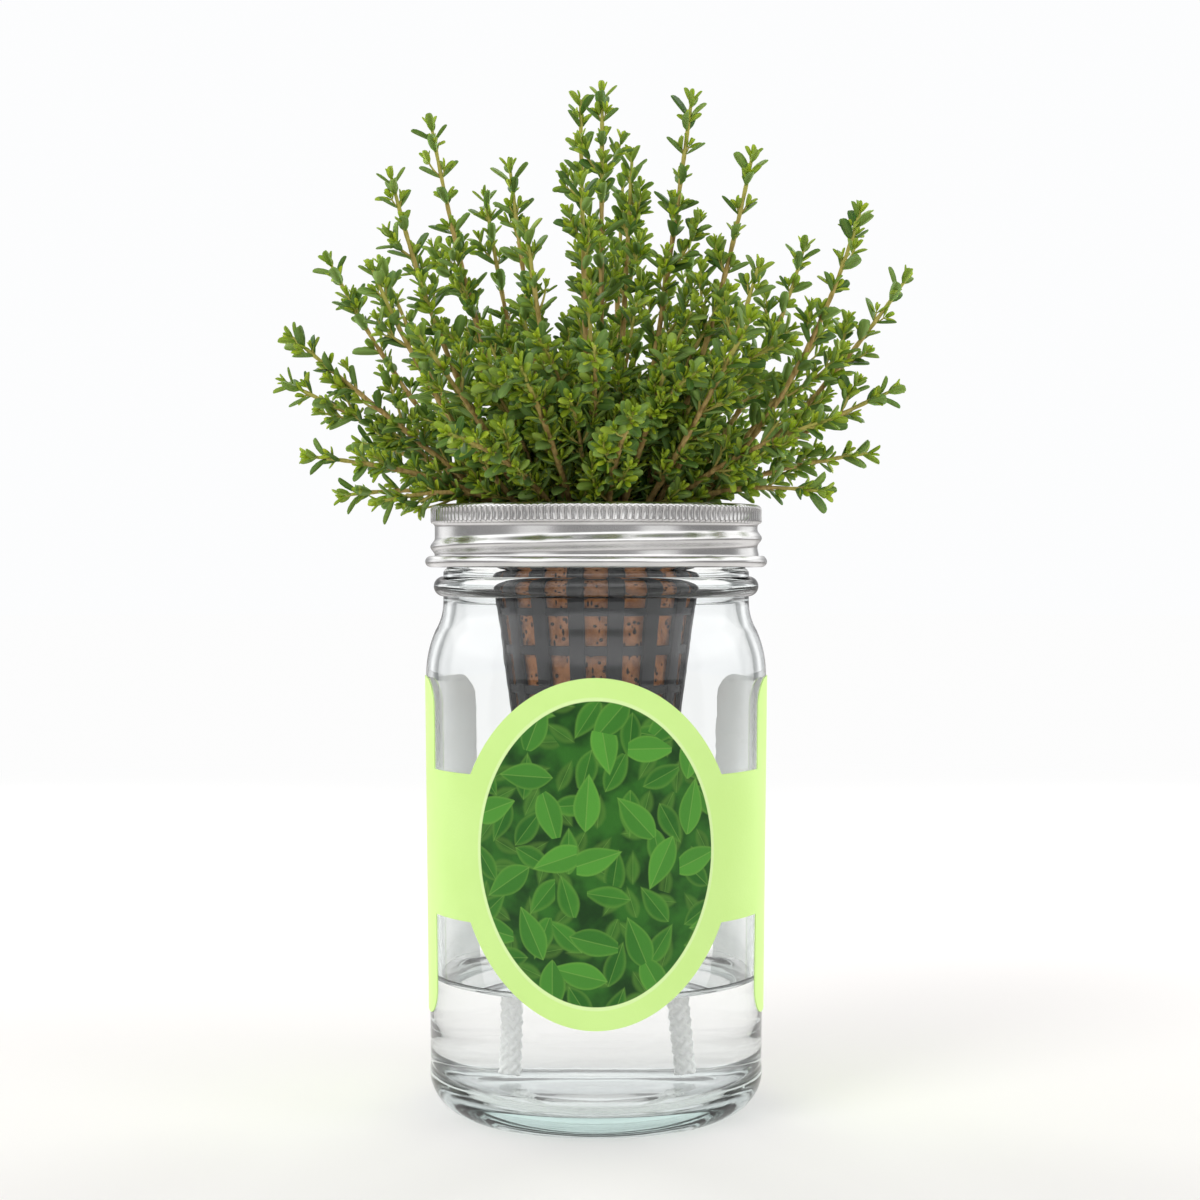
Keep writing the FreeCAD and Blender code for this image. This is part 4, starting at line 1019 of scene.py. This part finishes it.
paper_back, tree, surface, place = new_material(
    "paper_back", {"Base Color": (0.90, 0.88, 0.86), "Roughness": 0.8}
)
backing = place_tones(tree, place, 70.0, (0.965, 0.95, 0.94), (0.99, 0.98, 0.975))
feed(tree, surface.inputs, {"Base Color": backing["Color"]})
label.data.materials.append(paper_back)

# %% [markdown]
# ## The herb: how it grows
#
# Woody stems fan out of the plug. At every few millimetres a pair of small oval leaves stands opposite
# each other, each pair a quarter turn from the last, with a tuft of younger leaves in its axil, and
# some of these tufts have grown into side shoots. Each tip ends in a tight yellow-green rosette. The
# plant follows that rule shoot by shoot. A particle system could scatter leaves faster, but it would
# not know which way a stem points or which leaf is young.

# %% One leaf, shaped from a four-sided circle
LEAF_PLACES = (0.0, 0.10, 0.28, 0.54, 0.78, 0.93, 1.0)
LEAF_WIDTHS = (0.10, 0.38, 0.82, 1.0, 0.95, 0.70, 0.30)
LEAF_THICKNESS, LEAF_FOLD, LEAF_CURL, CURL_START = 0.055, 0.10, 0.05, 0.35
circle = {"vertices": 4, "radius": 0.5, "fill_type": "NGON", "rotation": (0, math.pi / 2, 0)}
leaf = new_piece(bpy.ops.mesh.primitive_circle_add, **circle)
bpy.ops.object.mode_set(mode="EDIT")
bpy.ops.mesh.select_all(action="SELECT")
for here, there in zip(LEAF_PLACES, LEAF_PLACES[1:]):
    bpy.ops.mesh.extrude_region_move(TRANSFORM_OT_translate={"value": (there - here, 0, 0)})
bpy.ops.object.mode_set(mode="OBJECT")
for vertex in leaf.data.vertices:
    along = vertex.co.x
    width = np.interp(along, LEAF_PLACES, LEAF_WIDTHS)
    side, rise = vertex.co.y * 2 * width, vertex.co.z * 2 * width
    fold = LEAF_FOLD * abs(side)
    curl = -LEAF_CURL * max(0.0, along - CURL_START) ** 2
    vertex.co = (along, side * 0.5, rise * LEAF_THICKNESS + fold + curl)
edit_whole(bpy.ops.mesh.normals_make_consistent, inside=False)
LEAF_SHAPE = np.array([vertex.co[:] for vertex in leaf.data.vertices])
LEAF_FACES = [tuple(face.vertices) for face in leaf.data.polygons]
leaf_normals = np.array([vertex.normal[:] for vertex in leaf.data.vertices])
LEAF_UNDER = (leaf_normals[:, 2] < 0).astype(float)
bpy.data.objects.remove(leaf)
print("leaf:", len(LEAF_SHAPE), "points,", len(LEAF_FACES), "faces")


# %% Collect leaves and wood as the plant grows
class Foliage:
    """The leaves of one side of the plant, each with its place, size, tone and age."""

    def __init__(self):
        self.frames, self.tones, self.ages = [], [], []

    def leaf(self, root, pointing, across, length, width, tone, age):
        upper = pointing.cross(across).normalized()
        self.frames.append((root, pointing * length, across * width, upper * length))
        self.tones.append(tone)
        self.ages.append(age)

    def make(self, name):
        origins = np.array([row[0][:] for row in self.frames])
        axes = np.array([[row[1][:], row[2][:], row[3][:]] for row in self.frames])
        places = np.einsum("vk,lkc->lvc", LEAF_SHAPE, axes) + origins[:, None, :]
        count, corners = len(self.frames), len(LEAF_SHAPE)
        faces = [tuple(n * corners + corner for corner in face) for n in range(count) for face in LEAF_FACES]
        return mesh_piece(
            name,
            places.reshape(-1, 3).tolist(),
            faces,
            tone=np.repeat(self.tones, corners),
            age=np.repeat(self.ages, corners),
            under=np.tile(LEAF_UNDER, count),
            along=np.tile(LEAF_SHAPE[:, 0], count),
            side=np.tile(np.abs(LEAF_SHAPE[:, 1]) * 2, count),
        )


# %% Keep clear of the band and the cup
RIM_TOP, LIP_TOP = 171.1 * MM, 170.4 * MM
MOUTH_REACH, LIP_REACH, BAND_REACH = 28.5 * MM, 37.2 * MM, 48.9 * MM
EDGE = 0.3 * MM


def is_clear(spot):
    """Whether a spot stays off the metal and the glass, and inside the plant's own room."""
    reach = spot.xy.length
    if any(not low + EDGE < value < high - EDGE for value, low, high in zip(spot, cad_low, cad_high)):
        return False
    if spot.z < PLUG_TOP * MM:
        return False
    if LIP_REACH < reach < BAND_REACH and spot.z < RIM_TOP:
        return False
    return not (MOUTH_REACH < reach <= LIP_REACH and spot.z < LIP_TOP)


# %% Places along a shoot
def bent_line(foot, bend, tip, steps):
    """Points of the curve that a stem's three points bend."""
    points = []
    for step in range(steps + 1):
        share = step / steps
        points.append(foot * (1 - share) ** 2 + bend * 2 * share * (1 - share) + tip * share**2)
    return points


def at_length(points, lengths, target):
    """The place and direction at a distance along a line."""
    place = min(max(int(np.searchsorted(lengths, target)) - 1, 0), len(points) - 2)
    share = (target - lengths[place]) / (lengths[place + 1] - lengths[place])
    return points[place].lerp(points[place + 1], share), (points[place + 1] - points[place]).normalized()


def out_of(direction, turn):
    """A direction square to a stem, at a turn round it."""
    first = direction.orthogonal().normalized()
    return swing(first, direction.cross(first), turn)


# %% Leaves, tips and tufts
grow = random.Random(5)
# The youngest pairs: their distance from the tip, leaf length and angle to the stem.
TIP_PAIRS = [(0.0, 2.8, 18), (0.7, 4.0, 32), (2.1, 5.6, 42), (4.8, 6.9, 48)]
TUFT_PAIRS = [(3.1, 22), (4.3, 46)]


def add_leaf(foliage, place, direction, out, length, spread, age, radius):
    """A leaf that leaves the stem at an angle, with its upper side towards the tip."""
    pointing = swing(direction, out, math.radians(spread + grow.uniform(-7, 7)))
    pointing.z += 0.10 * grow.uniform(-0.5, 1) * (1 - age)
    pointing.normalize()
    across = direction.cross(pointing)
    if across.length < 0.01:
        return
    across.normalize()
    across = swing(across, pointing.cross(across), grow.gauss(0, 0.42))
    size = length * grow.uniform(0.86, 1.14)
    root = place + out * radius * 0.6
    if is_clear(root + pointing * size) and is_clear(root + pointing * size * 0.5) and is_clear(root):
        width, tone = size * grow.uniform(0.36, 0.46), grow.random()
        foliage.leaf(root, pointing, across, size, width, tone, clamped(age + grow.uniform(-0.12, 0.12)))


def add_pair(foliage, place, direction, turn, *leaf_values):
    """Two leaves opposite each other."""
    for half in (0, math.pi):
        add_leaf(foliage, place, direction, out_of(direction, turn + half), *leaf_values)


def grow_tip(foliage, points, lengths, twist, radius, vigour):
    """The tight rosette at the end of a shoot."""
    for number, (back, length, spread) in enumerate(TIP_PAIRS):
        if back * MM <= lengths[-1] * 0.6:
            place, direction = at_length(points, lengths, lengths[-1] - back * MM)
            turn, age = twist + number * math.pi / 2, 1.0 - 0.22 * number
            add_pair(foliage, place, direction, turn, length * vigour * MM, spread, age, radius)


def grow_tuft(foliage, wood, points, age):
    """Two pairs of small leaves on a very short stalk."""
    wood.tube(points, [0.3 * MM] * len(points), 4, [0.8] * len(points))
    direction = (points[-1] - points[0]).normalized()
    twist = grow.uniform(0, math.pi)
    for number, (length, spread) in enumerate(TUFT_PAIRS):
        place = points[-1] - direction * number * 0.5 * MM
        turn = twist + number * math.pi / 2
        add_pair(foliage, place, direction, turn, length * MM, spread, age - 0.2 * number, 0.25 * MM)


# %% One shoot and all that grows on it
FIRST_NODE, INTERNODE, NODE_SWELLING = 8.4, 7.4, 1.25
BRANCH_DEPTH, BRANCH_CHANCE = 16, 0.36


def wood_ages(lengths, main):
    """From old wood at the foot to young wood at the tip."""
    if main:
        return [0.15 + 0.85 * (value / lengths[-1]) ** 2.2 for value in lengths]
    return [0.65 + 0.35 * value / lengths[-1] for value in lengths]


def grow_shoot(foliage, wood, points, radii, vigour, main=True):
    """Wood along the line, leaf pairs down from the tip, and tufts or side shoots in their axils."""
    lengths = lengths_along(points)
    total = lengths[-1]
    twist = grow.uniform(0, FULL_TURN)
    thick, thin = radii
    widths = [thick + (thin - thick) * (value / total) ** 0.8 for value in lengths]
    bare_foot, closeness = (7 * MM, 1) if main else (1.5 * MM, 0.62)
    nodes = []
    back, number = FIRST_NODE * vigour * MM, len(TIP_PAIRS)
    while back < total - bare_foot:
        nodes.append((total - back, number))
        gap = INTERNODE + min(3.0, 0.35 * (number - len(TIP_PAIRS)))
        back += gap * MM * grow.uniform(0.85, 1.12) * closeness
        number += 1
    for reached, order in nodes:
        closest = min(range(len(lengths)), key=lambda index: abs(lengths[index] - reached))
        widths[closest] *= NODE_SWELLING
    wood.tube(points, widths, 8 if main else 5, wood_ages(lengths, main))
    grow_tip(foliage, points, lengths, twist, thin, vigour)
    for reached, order in nodes:
        place, direction = at_length(points, lengths, reached)
        width = thick + (thin - thick) * reached / total
        depth = (total - reached) / MM
        length = min(7.3, 6.4 + 0.03 * depth) * vigour * MM
        spread, age = 45 + min(12, depth * 0.25), max(0.0, 0.3 - depth * 0.012)
        for half in (0, math.pi):
            out = out_of(direction, twist + order * math.pi / 2 + half + grow.uniform(-0.2, 0.2))
            add_leaf(foliage, place, direction, out, length, spread, age, width)
            branch = main and depth > BRANCH_DEPTH and grow.random() < BRANCH_CHANCE
            reach = grow.uniform(7, min(24, 6 + depth * 0.3)) if branch else grow.uniform(1.6, 3.4)
            heading = swing(direction, out, math.radians(grow.uniform(34, 48))).normalized()
            tip = place + (heading * 0.7 + direction * 0.3 + UP * 0.12).normalized() * reach * MM
            if not is_clear(tip):
                continue
            side_line = bent_line(place, place + heading * reach * 0.5 * MM, tip, 6 if branch else 2)
            if branch:
                grow_shoot(foliage, wood, side_line, mm(0.42, 0.26), 0.82, main=False)
            else:
                grow_tuft(foliage, wood, side_line, max(0.6, 1.0 - depth * 0.006))


# %% Grow every measured stem, each side of the plant in its own piece
# Each stem's direction in degrees, then its tip's reach and height and its bend's, as shares.
STEM_SHARES = [
    (150, 0.61, 0.96, 0.62, 0.38), (210, 0.69, 0.76, 0.66, 0.28), (125, 0.64, 0.82, 0.60, 0.32),
    (135, 0.39, 0.86, 0.60, 0.40), (107, 0.17, 1.00, 0.55, 0.50), (282, 0.09, 0.98, 0.50, 0.50),
    (64, 0.26, 0.88, 0.55, 0.42), (320, 0.37, 0.94, 0.55, 0.45), (325, 0.56, 0.81, 0.62, 0.34),
    (315, 0.66, 0.56, 0.62, 0.20), (37, 0.86, 0.70, 0.66, 0.24), (343, 0.82, 0.70, 0.70, 0.22),
    (2, 0.96, 0.58, 0.50, 0.18), (352, 0.91, 0.32, 0.34, 0.17), (163, 0.89, 0.64, 0.56, 0.22),
    (219, 0.82, 0.55, 0.60, 0.19), (141, 0.92, 0.66, 0.56, 0.22), (185, 0.93, 0.44, 0.42, 0.18),
    (172, 0.98, 0.35, 0.34, 0.17), (194, 0.88, 0.17, 0.24, 0.135), (242, 0.43, 0.65, 0.52, 0.26),
    (292, 0.58, 0.38, 0.46, 0.19), (12, 0.88, 0.19, 0.24, 0.14), (333, 0.75, 0.09, 0.26, 0.135),
    (178, 0.78, 0.09, 0.26, 0.135), (200, 0.69, 0.07, 0.28, 0.14), (90, 0.80, 0.52, 0.60, 0.20),
    (66, 0.78, 0.68, 0.62, 0.25), (116, 0.76, 0.46, 0.52, 0.20), (80, 0.50, 0.85, 0.58, 0.38),
    (103, 0.66, 0.30, 0.36, 0.17), (132, 0.86, 0.33, 0.34, 0.17), (50, 0.90, 0.38, 0.40, 0.18),
    (74, 0.92, 0.16, 0.24, 0.14), (268, 0.50, 0.50, 0.50, 0.22), (252, 0.68, 0.34, 0.38, 0.18),
    (306, 0.74, 0.44, 0.50, 0.20), (230, 0.78, 0.41, 0.46, 0.19), (324, 0.84, 0.24, 0.28, 0.16),
    (262, 0.30, 0.76, 0.54, 0.34), (278, 0.74, 0.24, 0.28, 0.16), (240, 0.82, 0.20, 0.26, 0.15),
    (22, 0.80, 0.50, 0.56, 0.20), (155, 0.84, 0.22, 0.27, 0.15),
]
SIDES = ["right", "back_right", "back", "back_left", "left", "front_left", "front", "front_right"]
PLANT_SPREAD, PLANT_HEIGHT, CROWN_RADIUS = 92.0, 126.0, 18.0
STEM_RADIUS, STEM_TIP_RADIUS = 1.05, 0.45
foliage = {side: Foliage() for side in SIDES}
wood = {side: TubeMaker() for side in SIDES}
stems_of = {side: [] for side in SIDES}


def side_at(azimuth):
    return SIDES[round(azimuth * len(SIDES) / 360) % len(SIDES)]


for number, (azimuth, reach, height, bend_out, bend_up) in enumerate(STEM_SHARES, 1):
    side = side_at(azimuth)
    stems_of[side].append(f"stem_{number:02d}")
    outwards = level(math.radians(azimuth))
    root_reach = CROWN_RADIUS * math.sqrt(reach)
    tip_reach = PLANT_SPREAD * reach
    bend_reach = root_reach + (tip_reach - root_reach) * bend_out
    corners = ((root_reach, 0), (bend_reach, bend_up), (tip_reach, height))
    places = [(outwards * out + UP * (PLUG_TOP + PLANT_HEIGHT * share)) * MM for out, share in corners]
    grow_shoot(foliage[side], wood[side], bent_line(*places, 40), mm(STEM_RADIUS, STEM_TIP_RADIUS), 1.0)

# %% [markdown]
# Between the long stems stands a thicket of short young shoots, which hides the middle of the plant.
# They start anywhere on the plug's top and lean outwards just enough to clear the metal lip.

# %% Short shoots in the middle
SHORT_SHOOTS, SHORT_REACH = 84, 17.5
for number in range(SHORT_SHOOTS):
    azimuth = 360 * (number + grow.uniform(-0.4, 0.4)) / SHORT_SHOOTS
    side = side_at(azimuth)
    outwards = level(math.radians(azimuth))
    root_reach = SHORT_REACH * math.sqrt(grow.uniform(0.05, 1))
    length = grow.uniform(24, 76)
    rise = math.radians(grow.uniform(38, 80))
    foot = (outwards * root_reach + UP * PLUG_TOP) * MM
    tip = foot + swing(outwards, UP, rise) * length * MM
    bend = foot + UP * (0.55 * length * MM) + outwards * 0.12 * length * MM
    grow_shoot(foliage[side], wood[side], bent_line(foot, bend, tip, 16), mm(0.6, 0.32), 0.95)

# %% Make the pieces
leaf_pieces, wood_pieces = [], []
for side in SIDES:
    leaf_pieces.append(foliage[side].make(f"foliage_{side}"))
    wood_pieces.append(wood[side].make(f"stems_{side}"))
    print(side, len(foliage[side].frames), "leaves")
    finish(leaf_pieces[-1], "plant", "leaf_green", f"leaves_{side}")
    finish(wood_pieces[-1], "plant", "stem_bark", *stems_of[side])

# %% [markdown]
# ## Leaf and bark
#
# A mature leaf is deep green and slightly grey, a young one is bright yellow-green, and the underside
# is paler and duller. Each leaf carries its own tone and age as attributes, so one material serves
# them all. Bark is tan at the foot and turns green towards the tips.

# %% Leaf
leaf_green, tree, surface, place = new_material(
    "herb_leaf",
    {
        "Base Color": (0.06, 0.16, 0.04),
        "Roughness": 0.5,
        "Specular IOR Level": 0.28,
        "Subsurface Weight": 0.12,
        "Subsurface Radius": (0.3, 0.6, 0.1),
        "Subsurface Scale": 0.002,
    },
)
columns = ("tone", "age", "under", "along", "side")
tone, age, under, along, side = (
    add(tree, "Attribute", attribute_name=column).outputs["Fac"] for column in columns
)
mature = mixed(tree, tone, (0.045, 0.12, 0.014), (0.22, 0.345, 0.085))
young = mixed(tree, tone, (0.28, 0.40, 0.016), (0.47, 0.58, 0.03))
upper = mixed(tree, between(tree, age, 0.25, 0.95), mature, young)
pale_base = times(tree, between(tree, along, 0.22, 0.0), 0.5)
upper = mixed(tree, pale_base, upper, (0.40, 0.50, 0.05))
midrib = times(tree, between(tree, side, 0.10, 0.0), 0.3)
upper = mixed(tree, midrib, upper, (0.28, 0.40, 0.08))
looks = {
    "Base Color": mixed(tree, times(tree, under, 0.5), upper, (0.19, 0.29, 0.06)),
    "Roughness": ranged(tree, under, 0.42, 0.75),
    "Normal": place_relief(tree, place, 1800.0, 0.00004)["Normal"],
}
feed(tree, surface.inputs, looks)
for piece in leaf_pieces:
    piece.data.materials.append(leaf_green)

# %% Bark
bark, tree, surface, place = new_material(
    "herb_bark", {"Base Color": (0.36, 0.22, 0.10), "Roughness": 0.75}
)
stem_age = add(tree, "Attribute", attribute_name="age").outputs["Fac"]
stretch = add(tree, "Mapping", {"Vector": place, "Scale": (1.0, 1.0, 0.3)}).outputs[0]
grain = place_tones(tree, stretch, 700.0, (0.27, 0.165, 0.045), (0.48, 0.34, 0.115))
green_end = mixed(tree, between(tree, stem_age, 0.45, 1.0), grain["Color"], (0.42, 0.42, 0.08))
ridges = place_relief(tree, stretch, 1500.0, 0.0003)
feed(tree, surface.inputs, {"Base Color": green_end, "Normal": ridges["Normal"]})
for piece in wood_pieces:
    piece.data.materials.append(bark)

# %% [markdown]
# ## Floor, lamps and world
#
# A plain pale floor runs back into white. Glass and metal only show what surrounds them, so the world
# has two more looks. What is seen through the glass is white with four dark cards, as beside a product
# photograph: they draw the dark lines in the glass from whichever side it is seen. What is seen mirrored
# is a grey room with bright windows, and these give the metal and the glass their streaks of light. What
# lights the object is an even world and four broad lamps.

# %% Floor
ground = new_piece(bpy.ops.mesh.primitive_circle_add, vertices=96, radius=6.0, fill_type="NGON")
ground.name = "studio_floor"
edit_whole(bpy.ops.mesh.inset, thickness=5.2)
ground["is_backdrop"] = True
floor_paint, tree, surface, place = new_material(
    "studio_floor", {"Base Color": (0.88, 0.86, 0.845), "Roughness": 0.9, "Specular IOR Level": 0.1}
)
away = add(tree, "VectorMath", {0: place}, operation="LENGTH").outputs["Value"]
by_camera, mirrored, through = rays(tree, "Camera", "Glossy", "Transmission")
seen = maths(tree, "MAXIMUM", maths(tree, "MAXIMUM", by_camera, mirrored), through)
reflected = maths(tree, "GREATER_THAN", mirrored, through)
tone = mixed(tree, reflected, (0.98, 0.98, 0.98), (0.36, 0.35, 0.34))
white = add(tree, "Emission", {"Color": tone, "Strength": 1.0})
put_out(tree, times(tree, between(tree, away, 0.28, 1.1), seen), surface, white)
ground.data.materials.append(floor_paint)

# %% World
world = bpy.data.worlds.new("studio")
world.use_nodes = True
bpy.context.scene.world = world
tree = world.node_tree
way = add(tree, "SeparateXYZ", {0: add(tree, "TexCoord").outputs["Generated"]}).outputs
azimuth = maths(tree, "ARCTAN2", way["Y"], way["X"])
diagonal = between(tree, maths(tree, "COSINE", times(tree, azimuth, 4.0)), -0.3, -0.85)
overhead = between(tree, way["Z"], 0.35, 0.8)
card = maths(tree, "MAXIMUM", times(tree, diagonal, 0.88), times(tree, overhead, 0.55))
through_glass = mixed(tree, card, (0.97, 0.975, 0.985), (0.10, 0.115, 0.115))
high_up = maths(tree, "MINIMUM", between(tree, way["Z"], 0.16, 0.34), between(tree, way["Z"], 0.84, 0.66))
bright = maths(tree, "MAXIMUM", times(tree, diagonal, 0.75), high_up)
in_mirror = mixed(tree, bright, (0.34, 0.34, 0.345), (1.75, 1.75, 1.75))
by_camera, mirrored, through = rays(tree, "Camera", "Glossy", "Transmission")
seen_world = mixed(tree, maths(tree, "GREATER_THAN", mirrored, through), through_glass, in_mirror)
seen_world = mixed(tree, by_camera, seen_world, (0.978, 0.982, 0.988))
seen = maths(tree, "MAXIMUM", maths(tree, "MAXIMUM", mirrored, through), by_camera)
final = mixed(tree, seen, (0.63, 0.63, 0.64), seen_world)
feed(tree, tree.nodes["Background"].inputs, {"Color": final, "Strength": 1.0})


# %% Lamps
def lamp(name, place, aim, width, height, power):
    data = bpy.data.lights.new(name, "AREA")
    data.shape = "RECTANGLE"
    data.size, data.size_y = width, height
    data.energy = power
    made = link(name, data)
    made.location = place
    made.visible_glossy = made.visible_transmission = False
    made.rotation_euler = (Vector(aim) - Vector(place)).to_track_quat("-Z", "Y").to_euler()


lamp("key_lamp", (-0.75, -0.85, 0.95), (0, 0, 0.14), 0.5, 0.9, 5.8)
lamp("fill_lamp", (0.95, -0.55, 0.55), (0, 0, 0.14), 0.4, 0.9, 2.4)
lamp("back_lamp_right", (0.75, 0.80, 0.34), (0, 0, 0.09), 0.5, 0.5, 7.0)
lamp("back_lamp_left", (-0.75, 0.80, 0.34), (0, 0, 0.09), 0.5, 0.5, 7.0)

# %% [markdown]
# ## Last step
#
# The size after dressing is printed, as the measured size was at the start.

# %% Sizes after dressing
low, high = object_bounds()
print("dressed box", [round(v / MM, 1) for v in (*low, *high)])
